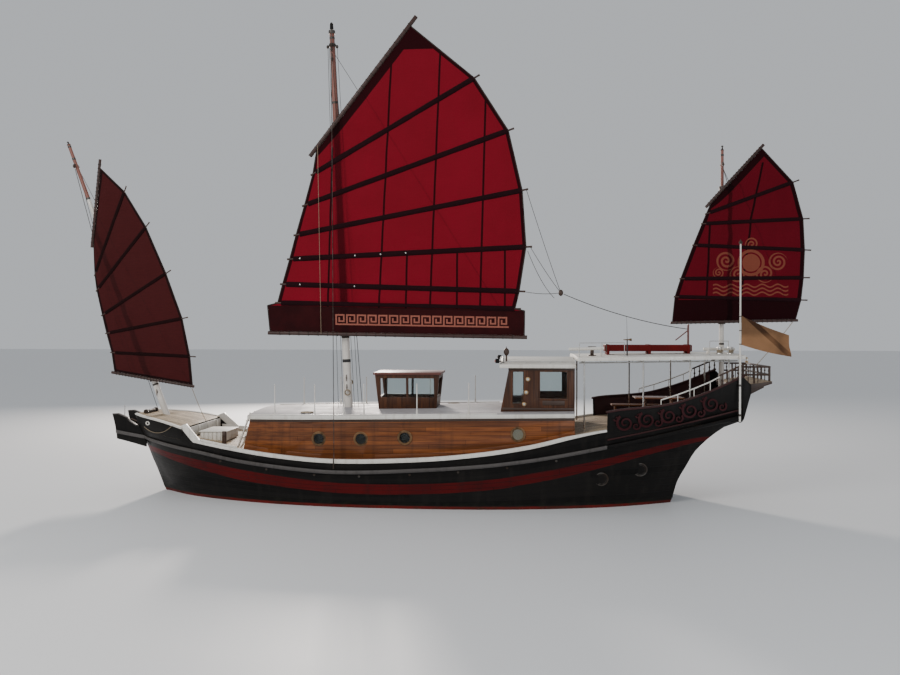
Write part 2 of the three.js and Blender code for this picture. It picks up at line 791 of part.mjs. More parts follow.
const doorWayHalf = door.half + door.gap;
const doorWay = box(4800, 5100, -doorWayHalf, doorWayHalf, door.low - door.gap, door.high + door.gap);
const cabinAftHalf = cabinHalf(cabin.aft) - wallThick - 1;
const cabinAft = box(4890, 4949, -cabinAftHalf, cabinAftHalf, 1900, cabin.topAft - 3);
add("cabin_aft", cut(cabinAft, [hullGrown, doorWay]), "varnish");

const wellHalf = house.half - wallThick - 40;
const helmWell = box(3300, 5100, -wellHalf, wellHalf, 2300, 3100);
const cabinTopCuts = [mastRod(masts.main, seam, boreSides), helmWell];
add("cabin_top", cut(cabinTopBody(0), cabinTopCuts), "white");
const cabinTopGrown = cabinTopBody(seam);

// Rails on the cabin top and the ladder at its front

const stanchions = [-3980, -2730, -1850, -1240, 340, 1870];
const stanchionHeight = 900;
const stanchionParts = stanchions.map((x) => {
  const z = cabinTopLine(x) + cabin.slab;
  const y = cabinHalf(x) + cabinEave - 60;
  return join([
    rod(point(x, y, z - 30), point(x, y, z + stanchionHeight), 16, 12, 6),
    rod(point(x, y, z - 30), point(x, y, z + 50), 34, 26, 8),
  ]);
});
[0.5, 0.97].forEach((share) => {
  for (let i = 0; i < stanchions.length - 1; i += 1) {
    const ends = [stanchions[i], stanchions[i + 1]].map((x) =>
      point(x, cabinHalf(x) + cabinEave - 60, cabinTopLine(x) + cabin.slab + share * stanchionHeight),
    );
    stanchionParts.push(rod(ends[0], ends[1], 8, 8, 6));
  }
});
const stanchionBody = cut(join(stanchionParts), [cabinTopGrown]);
sides.forEach(({ name, turn }) => {
  add(`cabin_rail_${name}`, turn(stanchionBody), "steel");
});

const ladder = { foot: { x: -5290, z: 1560 }, top: { x: -4890, z: 2640 }, sides: [-1250, -800], rail: 32 };
const ladderTread = { half: 60, thick: 28, at: [0.28, 0.52, 0.76] };
const ladderParts = ladder.sides.map((y) => {
  const ends = [ladder.foot, ladder.top].map(({ x, z }) => point(x, y, z));
  return rod(...ends, ladder.rail, ladder.rail, 8);
});
ladderTread.at.forEach((share) => {
  const x = mix(ladder.foot.x, ladder.top.x, share);
  const z = mix(ladder.foot.z, ladder.top.z, share);
  const half = ladderTread.thick / 2;
  ladderParts.push(box(x - ladderTread.half, x + ladderTread.half, ...ladder.sides, z - half, z + half));
});
add("ladder", cut(join(ladderParts), [hullGrown, cabinTopGrown]), "white");

const bollard = { x: -5650, side: 1450, top: 2080, radius: 75, barZ: 1960, bar: 28, barHalf: 150 };
sides.forEach(({ name, turn }) => {
  const post = [1550, bollard.top].map((z) => point(bollard.x, bollard.side, z));
  const bar = [-1, 1].map((end) => point(bollard.x, bollard.side + end * bollard.barHalf, bollard.barZ));
  const parts = [
    rod(...post, bollard.radius, bollard.radius - 10, 16),
    rod(...bar, bollard.bar, bollard.bar, 12),
  ];
  add(`bollard_${name}`, turn(cut(join(parts), [hullGrown])), "darkWood");
});

// Deck box

function flared(grow) {
  return loft(
    [deckBox.foot, deckBox.top].map((z) => {
      const out = mix(0, deckBox.lean, (z - deckBox.foot) / (deckBox.top - deckBox.foot)) + grow;
      const ends = [deckBox.from - out, deckBox.to + out];
      const half = deckBox.half + out;
      return [
        point(ends[0], half, z),
        point(ends[1], half, z),
        point(ends[1], -half, z),
        point(ends[0], -half, z),
      ];
    }),
  );
}

const windowTop = deckBox.top - deckBox.head;
const windowSide = deckBox.half - deckBox.post;
const boxWindows = [
  box(deckBox.from - 300, deckBox.to + 300, -windowSide, windowSide, deckBox.sill, windowTop),
];
const boxMiddle = (deckBox.from + deckBox.to) / 2;
const mullion = 35;
[
  [deckBox.from + deckBox.post, boxMiddle - mullion],
  [boxMiddle + mullion, deckBox.to - deckBox.post],
].forEach(([from, to]) => {
  boxWindows.push(box(from, to, -1200, 1200, deckBox.sill, windowTop));
});
const deckBoxBody = cut(flared(0), [flared(-deckBox.frame), ...boxWindows, cabinTopGrown]);
add("deck_box", deckBoxBody, "darkWood");
const rimReach = deckBox.lean + 50;
const rimHalf = deckBox.half + rimReach;
const boxTop = box(deckBox.from - rimReach, deckBox.to + rimReach, -rimHalf, rimHalf,
  deckBox.top + seam, deckBox.top + deckBox.rim);
add("deck_box_top", boxTop, "red");

// Wheelhouse

const houseFoot = 2660;
const houseFrontAt = (z) => mix(house.front, house.frontTop, (z - 2700) / (house.eave - 2700));
const houseSideOutline = [
  [houseFrontAt(houseFoot), houseFoot],
  [houseFrontAt(house.eave), house.eave],
  [house.aft, house.eave],
  [house.aft, houseFoot],
];
const houseSide = panel(houseSideOutline, house.half - wallThick / 2, wallThick);
const sideCuts = [sideWindow, quarterWindow].map(({ from, to, low, high }) =>
  box(from, to, house.half - 200, house.half + 200, low, high),
);
sides.forEach(({ name, turn }) => {
  add(`wheelhouse_side_${name}`, turn(cut(houseSide, [...sideCuts, cabinTopGrown])), "darkWood");
});

const houseInside = house.half - wallThick - seam;
const houseFront = loft(
  [houseFoot, house.eave].map((z) => {
    const x = houseFrontAt(z);
    return [point(x, houseInside, z), point(x + wallThick, houseInside, z),
      point(x + wallThick, -houseInside, z), point(x, -houseInside, z)];
  }),
);
const screen = { width: 860, pitch: 930, low: 3060, high: 3930 };
const frontCuts = [-1, 0, 1].map((i) => {
  const middle = i * screen.pitch;
  return box(2600, 3300, middle - screen.width / 2, middle + screen.width / 2, screen.low, screen.high);
});
add("wheelhouse_front", cut(houseFront, [...frontCuts, cabinTopGrown]), "darkWood");

const hingeX = house.aft + door.pin + 2;
const hingeY = door.half + 2;

function knuckleOn(z, side) {
  // Barrel of a hinge with its leaf, on the door for side -1 and on the wall for side 1.
  const leaf = [hingeY + side * 4, hingeY + side * 40].sort((a, b) => a - b);
  return join([
    rod(point(hingeX, hingeY, z), point(hingeX, hingeY, z + door.knuckle), door.pin),
    box(house.aft - 20, hingeX + 5, ...leaf, z, z + door.knuckle),
  ]);
}

const houseAftFoot = cabin.topAft + 60;
const houseAft = box(house.aft - wallThick, house.aft, -houseInside, houseInside, houseAftFoot, house.eave);
const knuckleStep = door.knuckle + seam;
const wallKnuckles = door.hinges
  .flatMap((z) => [z + knuckleStep, z - knuckleStep])
  .map((z) => knuckleOn(z, 1));
const houseAftBody = join([cut(houseAft, [doorWay, cabinTopGrown]), ...wallKnuckles]);
add("wheelhouse_aft", houseAftBody, "darkWood");

const leafAft = house.aft - 5;
const doorLeaf = box(leafAft - door.thick, leafAft, -door.half, door.half - 2, door.low, door.high);
const doorPane = box(4800, 5100, -doorWindow.half, doorWindow.half, doorWindow.low, doorWindow.high);
const doorKnuckles = door.hinges.map((z) => knuckleOn(z, -1));
add("wheelhouse_door", join([cut(doorLeaf, [doorPane]), ...doorKnuckles]), "darkWood");

function roofRing(x, half, low, edge, crown) {
  const shoulder = edge + crown * 0.62;
  return [
    point(x, -half, low),
    point(x, -half, edge),
    point(x, -half * 0.6, shoulder),
    point(x, 0, edge + crown),
    point(x, half * 0.6, shoulder),
    point(x, half, edge),
    point(x, half, low),
  ];
}

const roofLow = house.eave + seam;
const roofEdge = roofLow + house.roofEdge;
const houseRoofBody = loft(
  [houseRoof.from, houseRoof.to].map((x) => roofRing(x, houseRoof.half, roofLow, roofEdge, house.crown)),
);
add("wheelhouse_roof", houseRoofBody, "white");

const helm = { from: 3420, to: 3700, half: 330, low: 2500, top: 3150, leg: 30 };
const wheel = { x: 3790, z: 3050, radius: 280, rim: 20, spoke: 360, spokes: 4, shaft: 30 };
const hub = point(wheel.x, 0, wheel.z);
const standHalf = helm.half - helm.leg;
const helmParts = [
  box(helm.from, helm.to, -helm.half, helm.half, helm.low, helm.top),
  box(helm.from + helm.leg, helm.to - helm.leg, -standHalf, standHalf, 1700, helm.low + 20),
  rod(point(helm.to - 10, 0, wheel.z), point(wheel.x + 10, 0, wheel.z), wheel.shaft),
];
const wheelRing = new THREE.TorusGeometry(wheel.radius, wheel.rim, 6, 16);
wheelRing.rotateY(Math.PI / 2);
wheelRing.translate(wheel.x, 0, wheel.z);
helmParts.push(solid(wheelRing));
for (let i = 0; i < wheel.spokes; i += 1) {
  const angle = (i * Math.PI) / wheel.spokes;
  const reach = point(0, Math.sin(angle) * wheel.spoke, Math.cos(angle) * wheel.spoke);
  helmParts.push(rod(hub.clone().sub(reach), hub.clone().add(reach), 12, 12, 6));
}
add("helm", cut(join(helmParts), [hullGrown]), "darkWood");

// Aft canopy with its frame, and the gear on its roof

const canopyLow = (x) => mix(canopy.lowFrom, canopy.lowTo, (x - canopy.from) / (canopy.to - canopy.from));
const canopyBody = (grow) =>
  loft(
    [canopy.from - grow, canopy.to + grow].map((x) =>
      roofRing(x, canopy.half + grow, canopyLow(x) - grow, canopyLow(x) + canopy.thick + grow, 40),
    ),
  );
add("canopy_roof", cut(canopyBody(0), [mastRod(masts.mizzen, seam, boreSides)]), "white");
const canopyGrown = canopyBody(seam);

const railDrop = 60;
const frameParts = [];
[-1, 1].forEach((side) => {
  const y = side * canopyPostSide;
  const ends = [5100, 9650].map((x) => point(x, y, canopyLow(x) - railDrop));
  frameParts.push(rod(ends[0], ends[1], 22, 22, 6));
  canopyPosts.forEach((x) => {
    const foot = point(x, y, deckAt(x) - 30);
    frameParts.push(rod(foot, point(x, y, canopyLow(x) + 40), postRadius, undefined, 6));
  });
});
canopyPosts.forEach((x) => {
  const z = canopyLow(x) - railDrop;
  frameParts.push(rod(point(x, -canopyPostSide, z), point(x, canopyPostSide, z), 20, 20, 6));
});
add("canopy_frame", cut(join(frameParts), [hullGrown, canopyGrown]), "white");

const locker = { from: 5950, to: 8560, left: -560, right: 40, low: 4530, high: 4720, bracket: 80 };
const lockerParts = [box(locker.from, locker.to, locker.left, locker.right, locker.low, locker.high)];
[locker.from + 60, (locker.from + locker.to) / 2, locker.to - 140].forEach((x) => {
  lockerParts.push(box(x, x + locker.bracket, locker.left - 20, locker.right + 20, 4300, locker.high + 15));
});
add("roof_locker", cut(join(lockerParts), [canopyGrown]), "red");

const crutch = { x: 8640, y: -260, top: 5180, bar: 70 };
const crutchParts = [
  rod(point(crutch.x, crutch.y, 4380), point(crutch.x, crutch.y, crutch.top), 34, 28),
  rod(point(crutch.x - 20, crutch.y, 5120), point(crutch.x - 380, crutch.y, 4600), 16, 16, 8),
  rod(
    point(crutch.x, crutch.y - crutch.bar, crutch.top + 10),
    point(crutch.x, crutch.y + crutch.bar, crutch.top + 10),
    26,
    26,
    8,
  ),
];
const lockerTop = locker.high + seam;
const lockerGrown = box(locker.from, locker.to + seam, locker.left - 40, locker.right + 60, 4500, lockerTop);
add("boom_crutch", cut(join(crutchParts), [canopyGrown, lockerGrown]), "darkWood");

const roofSpar = { from: 8900, to: 9820, y: -560, z: 4600, chock: 60 };
const sparParts = [
  rod(point(roofSpar.from, roofSpar.y, roofSpar.z), point(roofSpar.to, roofSpar.y, roofSpar.z), 48, 40),
];
[roofSpar.from + 100, roofSpar.to - 180].forEach((x) => {
  sparParts.push(
    box(x, x + roofSpar.chock, roofSpar.y - 60, roofSpar.y + 60, roofSpar.z - 200, roofSpar.z + 20),
  );
});
add("roof_spar", cut(join(sparParts), [canopyGrown]), "mast");

// Benches and table on the aft deck

const bench = { from: 6350, to: 9050, inner: 1160, outer: 1550, top: 2750, thick: 50, leg: 50 };
const benchLegs = [6450, 7600, 8880];
sides.forEach(({ name, turn }) => {
  const parts = [box(bench.from, bench.to, bench.inner, bench.outer, bench.top - bench.thick, bench.top)];
  benchLegs.forEach((x) => {
    parts.push(box(x, x + bench.leg, bench.inner + 40, bench.outer - 10, 2200, bench.top - 40));
  });
  add(`bench_${name}`, turn(cut(join(parts), [hullGrown])), "varnish");
});

const table = { from: 6900, to: 8400, half: 360, top: 3100, thick: 40, trestle: 60, trestles: [7200, 8040] };
const tableParts = [box(table.from, table.to, -table.half, table.half, table.top - table.thick, table.top)];
table.trestles.forEach((x) => {
  tableParts.push(box(x, x + table.trestle, -260, 260, 2300, table.top - 30));
});
add("table", cut(join(tableParts), [hullGrown]), "varnish");

// Masts

Object.entries(masts).forEach(([name, mast]) => {
  const cuts = name === "fore" ? [] : [hullGrown];
  add(`${name}_mast`, cut(mastRod(mast), cuts), "mast");
});

function mastAt(mast, z) {
  const share = (z - mast.foot.z) / (mast.head.z - mast.foot.z);
  return {
    x: mix(mast.foot.x, mast.head.x, share),
    z,
    radius: mix(mast.footRadius, mast.headRadius, share),
  };
}

// Main shrouds: a band round the mast below its head, and one stay to each rail

const bandZ = 14640;
const band = mastAt(masts.main, bandZ);
const shroudFoot = { x: -2020, z: 1440 };
const shroudSide = hullSide(shroudFoot.x, deckAt(shroudFoot.x)) - 25;
const bandHalf = 50;
const bandLean = (masts.main.head.x - masts.main.foot.x) / (masts.main.head.z - masts.main.foot.z);
const bandRing = rod(
  point(band.x - bandLean * bandHalf, 0, bandZ - bandHalf),
  point(band.x + bandLean * bandHalf, 0, bandZ + bandHalf),
  band.radius + 28,
  undefined,
  mastSides,
);
const shroudParts = [bandRing];
[-1, 1].forEach((side) => {
  const top = point(band.x, side * (band.radius + 14), bandZ);
  const foot = point(shroudFoot.x, side * shroudSide, shroudFoot.z);
  shroudParts.push(rod(top, foot, 11, 11, 6));
});
const stripGrown = stripBody(seam);
const shroudCuts = [mastRod(masts.main, seam, boreSides), stripGrown, mirrored(stripGrown)];
add("main_shrouds", cut(join(shroudParts), shroudCuts), "steel");

// Sails, yards and booms

function unit(from, to) {
  const length = Math.hypot(to[0] - from[0], to[1] - from[1]);
  return [(to[0] - from[0]) / length, (to[1] - from[1]) / length];
}

function edgeSpar(edge, spar, side, outward) {
  // Spar along an edge of the cloth, just clear of it: its two ends and its axis.
  const [dx, dz] = unit(edge[0], edge[1]);
  const off = spar.radius + seam;
  const shift = [outward * -dz * off, outward * dx * off];
  const along = ([x, z], reach) => point(x + shift[0] + dx * reach, side, z + shift[1] + dz * reach);
  return { start: along(edge[0], -spar.before), end: along(edge[1], spar.after) };
}

function crossing(mast, line) {
  // Where a spar passes the mast, seen from the side.
  const gaps = [line.start, line.end].map((end) => end.x - mastAt(mast, end.z).x);
  return new THREE.Vector3().lerpVectors(line.start, line.end, gaps[0] / (gaps[0] - gaps[1]));
}

function parrel(mast, line, reach) {
  // Hoop that turns on the mast, with a neck out to its spar.
  const meeting = crossing(mast, line);
  const centre = mastAt(mast, meeting.z);
  const lean = unit([mast.foot.x, mast.foot.z], [mast.head.x, mast.head.z]);
  const tall = 70;
  const low = point(centre.x - lean[0] * tall, 0, centre.z - lean[1] * tall);
  const high = point(centre.x + lean[0] * tall, 0, centre.z + lean[1] * tall);
  const hoop = rod(low, high, centre.radius + 45, undefined, 24);
  const neck = rod(point(centre.x, 0, centre.z), meeting, reach, undefined, 12);
  return cut(join([hoop, neck]), [mastRod(mast, runningGap, boreSides)]);
}

Object.entries(sails).forEach(([name, sail]) => {
  const outline = [...sail.luff, ...sail.head, ...sail.leech, ...sail.foot];
  const cloth = panel(outline, sail.side, clothThick);
  const battens = sail.battens.map(({ luff, leech }) => {
    const [dx, dz] = unit(luff, leech);
    const from = point(luff[0] - dx * 50, sail.side, luff[1] - dz * 50);
    const to = point(leech[0] + dx * battenTip, sail.side, leech[1] + dz * battenTip);
    return rod(from, to, sail.battenRadius, sail.battenRadius * 0.8, 10);
  });
  const yard = edgeSpar(sail.head, sail.yard, sail.side, 1);
  const boom = edgeSpar(sail.foot, sail.boom, sail.side, 1);
  const mast = masts[name];
  const yardBody = rod(yard.start, yard.end, sail.yard.radius, sail.yard.radius, 12);
  const boomBody = rod(boom.start, boom.end, sail.boom.radius, sail.boom.radius, 12);
  const spars = { yard: yardBody, boom: boomBody };
  const clothFinish = name === "fore" ? "foreSail" : "sail";
  const sparCuts = [yard, boom].map((spar, i) => {
    const radius = (i === 0 ? sail.yard.radius : sail.boom.radius) + seam;
    return rod(spar.start, spar.end, radius, radius, 12);
  });
  add(`${name}_sail`, cut(join([cloth, ...battens]), sparCuts), clothFinish);
  Object.entries(spars).forEach(([kind, body]) => {
    const line = kind === "yard" ? yard : boom;
    const hoop = parrel(mast, line, sail[kind].radius * 0.7);
    add(`${name}_${kind}`, join([body, hoop]), "spar");
  });
});

// Flag pole on the port quarter and its flag

const pole = { x: 9630, side: -1950, radius: 30, tip: 20, foot: 2560, head: 7760 };
const poleEnds = [pole.foot, pole.head].map((z) => point(pole.x, pole.side, z));
const poleParts = [rod(...poleEnds, pole.radius, pole.tip)];
[2750, 3600].forEach((z) => {
  const inside = -hullSide(pole.x, z) + plank / 2;
  poleParts.push(rod(point(pole.x, pole.side, z), point(pole.x, inside, z), 18, 18, 8));
});
const railSolid = cut(rail, [hullGrown]);
const railGrown = mirrored(join([railSolid, railSolid.translate([0, seam, 0])]));
add("flag_pole", cut(join(poleParts), [hullGrown, mirrored(bulwarkGrown), railGrown]), "white");
const poleRadius = (z) => mix(pole.radius, pole.tip, (z - pole.foot) / (pole.head - pole.foot));
const flagOutline = [
  [pole.x + poleRadius(4760) + seam, 4760],
  [pole.x + poleRadius(5590) + seam, 5590],
  [10980, 5040],
  [11040, 4420],
];
add("flag", panel(flagOutline, pole.side, 16), "flag");

export default ship;
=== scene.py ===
"""A three-masted chinese junk with battened sails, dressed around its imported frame.

Metres. X points aft, Y to starboard, Z up; the origin is on the centreline at the waterline, about
halfway along the waterline, and the floor lies at the waterline.
"""

import json
import math

import bmesh
import bpy
from mathutils import Matrix, Vector, noise


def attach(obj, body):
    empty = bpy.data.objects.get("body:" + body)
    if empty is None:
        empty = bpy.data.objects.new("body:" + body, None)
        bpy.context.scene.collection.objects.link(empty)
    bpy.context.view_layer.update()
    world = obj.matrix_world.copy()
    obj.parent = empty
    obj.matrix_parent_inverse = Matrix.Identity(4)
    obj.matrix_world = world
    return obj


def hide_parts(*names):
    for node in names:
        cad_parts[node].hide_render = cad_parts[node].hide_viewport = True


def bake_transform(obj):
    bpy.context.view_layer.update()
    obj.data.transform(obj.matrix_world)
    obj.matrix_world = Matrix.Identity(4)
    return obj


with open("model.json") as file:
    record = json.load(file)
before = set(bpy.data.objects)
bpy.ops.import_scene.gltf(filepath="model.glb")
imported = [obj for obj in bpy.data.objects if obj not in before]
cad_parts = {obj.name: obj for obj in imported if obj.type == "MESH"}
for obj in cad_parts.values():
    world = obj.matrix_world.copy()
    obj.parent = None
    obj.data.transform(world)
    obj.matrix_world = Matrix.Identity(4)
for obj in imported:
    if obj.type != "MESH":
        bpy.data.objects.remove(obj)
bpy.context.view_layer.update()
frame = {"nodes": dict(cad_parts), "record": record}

# Hull form: x of the planking's two ends at a height z

STEM = [
    (-1.35, -6.85), (-0.60, -7.62), (0.0, -8.05), (0.35, -8.15), (0.78, -8.27), (1.07, -8.37), (1.44, -8.48),
    (2.50, -8.88),
]
STERN = [
    (-1.35, 6.70), (-0.40, 7.55), (0.0, 7.87), (0.36, 7.955), (0.72, 8.04), (1.20, 8.27), (1.62, 8.48),
    (1.97, 8.785), (2.17, 9.005), (2.33, 9.20), (2.46, 9.46), (2.55, 9.72), (2.60, 9.80),
]

# Sections from stem to stern: share of the length, then deck edge height, half breadth there, half
# breadth at the waterline, and depth of the keel plank

DECK, BEAM, WATER, DEPTH = 1, 2, 3, 4
SECTIONS = [
    (0.00, 2.095, 0.62, 0.09, -0.15),
    (0.025, 2.010, 1.03, 0.40, -0.56),
    (0.063, 1.910, 1.40, 0.85, -0.90),
    (0.111, 1.805, 1.74, 1.25, -1.13),
    (0.184, 1.620, 2.08, 1.69, -1.27),
    (0.267, 1.440, 2.33, 2.05, -1.33),
    (0.371, 1.320, 2.51, 2.31, -1.35),
    (0.485, 1.357, 2.60, 2.40, -1.35),
    (0.598, 1.490, 2.60, 2.40, -1.33),
    (0.709, 1.770, 2.50, 2.27, -1.22),
    (0.811, 2.255, 2.32, 2.00, -1.04),
    (0.882, 2.350, 2.13, 1.70, -0.83),
    (0.940, 2.440, 1.93, 1.33, -0.56),
    (1.00, 2.550, 1.68, 0.86, -0.12),
]
KEEL_FLAT = 0.12
BILGE = 2.1
FLARE = 0.85
TUMBLE = 0.12

# Lines along the ship: height z at a place x; the red band's rows also give its half height, and the
# strip's rows give the height of its own face above the deck edge

RUB_LINE = [
    (-8.75, 1.80), (-7.31, 1.60), (-6.26, 1.47), (-4.94, 1.27), (-2.56, 1.07), (-1.27, 1.065), (0.51, 1.155),
    (1.57, 1.225), (2.80, 1.335), (4.51, 1.575), (7.02, 2.06), (9.74, 2.68),
]
RED_BAND = [
    (-8.20, 1.40, 0.10), (-7.77, 1.318, 0.10), (-7.19, 1.21, 0.12), (-5.98, 1.01, 0.155),
    (-4.92, 0.842, 0.165), (-2.47, 0.61, 0.15), (-1.28, 0.565, 0.15), (0.30, 0.585, 0.15),
    (1.57, 0.655, 0.15), (2.80, 0.77, 0.15), (3.43, 0.88, 0.145), (4.51, 1.07, 0.14),
    (5.76, 1.345, 0.12), (7.03, 1.66, 0.10), (8.60, 2.01, 0.07),
]
STRIP_FACE = [(-6.93, 0.075), (-5.60, 0.080), (-4.20, 0.110), (4.50, 0.110), (5.20, 0.075), (5.84, 0.060)]
FOREDECK_TOP = [(-9.20, 2.57), (-8.80, 2.52), (-7.82, 2.395), (-7.26, 2.285), (-6.88, 2.19)]
BULWARK_TOP = [(5.80, 2.83), (6.14, 2.89), (7.61, 3.05), (8.70, 3.38), (9.80, 3.86)]

# Bow wing: x and z of its foot and of its head, from the curved front edge to the rub rail

WING_EDGES = [
    (-9.503, 1.690, -9.624, 2.475), (-9.400, 1.668, -9.420, 2.485), (-9.110, 1.605, -9.110, 2.370),
    (-9.050, 1.590, -9.050, 2.270), (-8.800, 1.530, -8.800, 2.115), (-8.500, 1.455, -8.500, 2.100),
]

# Trunk cabin, portholes of the cabin and of the topsides, and canopy, as the frame has them

CABIN_PLAN = [(-5.00, 1.63), (-3.00, 1.88), (0.0, 1.93), (4.95, 1.95)]
CABIN = {"front": -4.78, "aft": 4.95, "top_front": 2.48, "top_aft": 2.63, "slab": 0.12, "eave": 0.07}
PORTHOLES = [(-2.61, 1.94), (-1.34, 1.95), (-0.02, 2.00), (3.31, 2.13)]
HULL_PORTHOLES = [(5.71, 0.87), (6.85, 1.12)]
CANOPY = {"from": 5.04, "to": 9.80, "low_from": 4.27, "low_to": 4.35, "thick": 0.10}

# Masts: foot and head on the centreline, radius at each

MASTS = {
    "fore": {"foot": Vector((-7.98, 0, 2.15)), "head": Vector((-11.34, 0, 11.23)), "radii": (0.105, 0.050)},
    "main": {"foot": Vector((-2.025, 0, 1.345)), "head": Vector((-2.62, 0, 14.93)), "radii": (0.140, 0.075)},
    "mizzen": {"foot": Vector((9.56, 0, 2.50)), "head": Vector((9.56, 0, 10.82)), "radii": (0.085, 0.042)},
}

# Sails: rows of cloth from the foot to the yard, each as luff x, luff z, leech x, leech z; side is the
# cloth's plane. A row that carries a batten is named in battens.

SAILS = {
    "fore": {
        "side": -0.26, "batten": 0.032, "tape": 0.07,
        "rows": [
            (-9.70, 3.83, -7.11, 3.41), (-9.79, 4.44, -7.19, 4.32), (-9.96, 5.06, -7.44, 5.54),
            (-10.10, 5.65, -7.97, 6.99), (-10.28, 6.45, -8.63, 8.49), (-10.345, 6.95, -9.34, 9.63),
            (-10.38, 7.95, -10.13, 10.38),
        ],
        "battens": (1, 2, 3, 4, 5),
        "seams": [],
    },
    "main": {
        "side": -0.38, "batten": 0.048, "tape": 0.10,
        "rows": [
            (-4.53, 5.14, 3.50, 5.01), (-4.61, 5.95, 3.51, 5.77), (-4.28, 6.03, 3.21, 5.83),
            (-4.12, 6.62, 3.34, 6.37), (-3.89, 7.41, 3.55, 7.74), (-3.684, 8.17, 3.43, 9.49),
            (-3.41, 9.10, 3.00, 11.34), (-3.14, 10.08, 1.95, 12.98), (-3.02, 10.80, -0.02, 14.62),
        ],
        "battens": (2, 3, 4, 5, 6, 7),
        "seams": [
            (-2.665, 5.85, -2.506, 10.9), (-1.041, 5.85, -0.630, 13.7), (0.567, 5.85, 0.912, 14.3),
            (2.129, 5.83, 2.315, 12.9), (-0.188, 5.83, -0.150, 7.56), (1.410, 5.83, 1.420, 7.63),
            (2.900, 5.83, 2.900, 7.70),
        ],
    },
    "mizzen": {
        "side": -0.26, "batten": 0.034, "tape": 0.11,
        "rows": [
            (8.025, 5.44, 11.70, 5.51), (8.10, 6.195, 11.85, 6.085), (8.27, 6.745, 11.92, 6.76),
            (8.65, 7.77, 11.95, 7.60), (8.91, 8.42, 11.90, 8.54), (9.03, 8.72, 11.60, 9.65),
            (9.15, 9.00, 10.68, 10.68),
        ],
        "battens": (1, 2, 3, 4, 5),
        "seams": [(9.02, 5.54, 9.14, 8.48), (10.05, 6.10, 10.35, 8.42), (10.32, 8.41, 10.705, 10.26)],
    },
}

# Camera at the photograph's place: its height over the water, heading and lens

CAMERA_PLACE = (3.30, -26.79, 5.30)
CAMERA_DIP = math.radians(0.78)
CAMERA_HEADING = math.radians(4.56)
CAMERA_LENS = 34.0


def aimed(place, at):
    """Turn that points a light or camera at a spot."""
    return (Vector(at) - Vector(place)).to_track_quat("-Z", "Y").to_euler()


def soft_light(name, place, at, size, power, colour=(1, 1, 1)):
    """Rectangular studio light."""
    data = bpy.data.lights.new(name, "AREA")
    data.shape = "RECTANGLE"
    data.size, data.size_y = size
    data.energy = power
    data.color = colour
    light = bpy.data.objects.new(name, data)
    light.location = place
    light.rotation_euler = aimed(place, at)
    bpy.context.scene.collection.objects.link(light)


def studio():
    """Camera, pale floor at the waterline, and soft light with a broad lamp behind the sails."""
    lens = bpy.data.cameras.new("camera")
    lens.lens = CAMERA_LENS
    lens.sensor_width = 36.0
    lens.clip_end = 400.0
    camera = bpy.data.objects.new("camera", lens)
    camera.location = CAMERA_PLACE
    camera.rotation_euler = (math.pi / 2 - CAMERA_DIP, 0, CAMERA_HEADING)
    bpy.context.scene.collection.objects.link(camera)
    bpy.context.scene.camera = camera

    soft_light("key_light", (-14, -24, 20), (0, 0, 3), (14, 10), 4600, (1.0, 0.97, 0.93))
    soft_light("fill_light", (18, -26, 8), (2, 0, 3), (16, 10), 1500, (0.93, 0.96, 1.0))
    soft_light("sail_light", (-8.5, 30, 11.5), (-1, 0, 6), (3, 3), 14000, (1.0, 0.90, 0.82))

    world = bpy.data.worlds.new("studio")
    world.use_nodes = True
    world.node_tree.nodes["Background"].inputs["Color"].default_value = (0.83, 0.86, 0.90, 1)
    world.node_tree.nodes["Background"].inputs["Strength"].default_value = 0.62
    bpy.context.scene.world = world

    bm = bmesh.new()
    bmesh.ops.create_grid(bm, x_segments=1, y_segments=1, size=160)
    mesh = bpy.data.meshes.new("floor")
    bm.to_mesh(mesh)
    bm.free()
    floor = bpy.data.objects.new("floor", mesh)
    bpy.context.scene.collection.objects.link(floor)
    paint = bpy.data.materials.new("studio_floor")
    paint.use_nodes = True
    shader = paint.node_tree.nodes["Principled BSDF"]
    shader.inputs["Base Color"].default_value = (0.72, 0.73, 0.74, 1)
    shader.inputs["Roughness"].default_value = 0.55
    mesh.materials.append(paint)


studio()


# Shader helpers; a colour is its red, green and blue


def feed(tree, node, inputs):
    """Sets a node's inputs; each is a value, a colour or another node's socket."""
    for key, value in inputs.items():
        socket = node.inputs[key]
        if isinstance(value, bpy.types.NodeSocket):
            tree.links.new(value, socket)
        else:
            socket.default_value = (*value, 1.0) if socket.type == "RGBA" else value


def put(tree, kind, inputs=None, **settings):
    """Adds a node with its settings and its inputs."""
    node = tree.nodes.new(kind)
    for key, value in settings.items():
        setattr(node, key, value)
    feed(tree, node, inputs or {})
    return node


def calc(tree, operation, a, b=0.0, c=0.0, clamp=False):
    """One step of arithmetic."""
    return put(tree, "ShaderNodeMath", {0: a, 1: b, 2: c}, operation=operation, use_clamp=clamp).outputs[0]


def times(tree, a, b):
    return calc(tree, "MULTIPLY", a, b)


def plus(tree, a, b):
    return calc(tree, "ADD", a, b)


def minus(tree, a, b):
    return calc(tree, "SUBTRACT", a, b)


def stepped(tree, value, low, high, out_low=0.0, out_high=1.0):
    """Smooth step from out_low to out_high as value goes from low to high."""
    inputs = {"Value": value, "From Min": low, "From Max": high, "To Min": out_low, "To Max": out_high}
    return put(tree, "ShaderNodeMapRange", inputs, interpolation_type="SMOOTHSTEP").outputs["Result"]


def mixed(tree, share, first, second, how="MIX"):
    """Colour between two colours."""
    node = put(tree, "ShaderNodeMix", {0: share, 6: first, 7: second}, data_type="RGBA", blend_type=how)
    return node.outputs[2]


def glazed(tree, colour, tint, mask, strength):
    """Colour with a tint over it where a mask is."""
    return mixed(tree, times(tree, mask, strength), colour, tint)


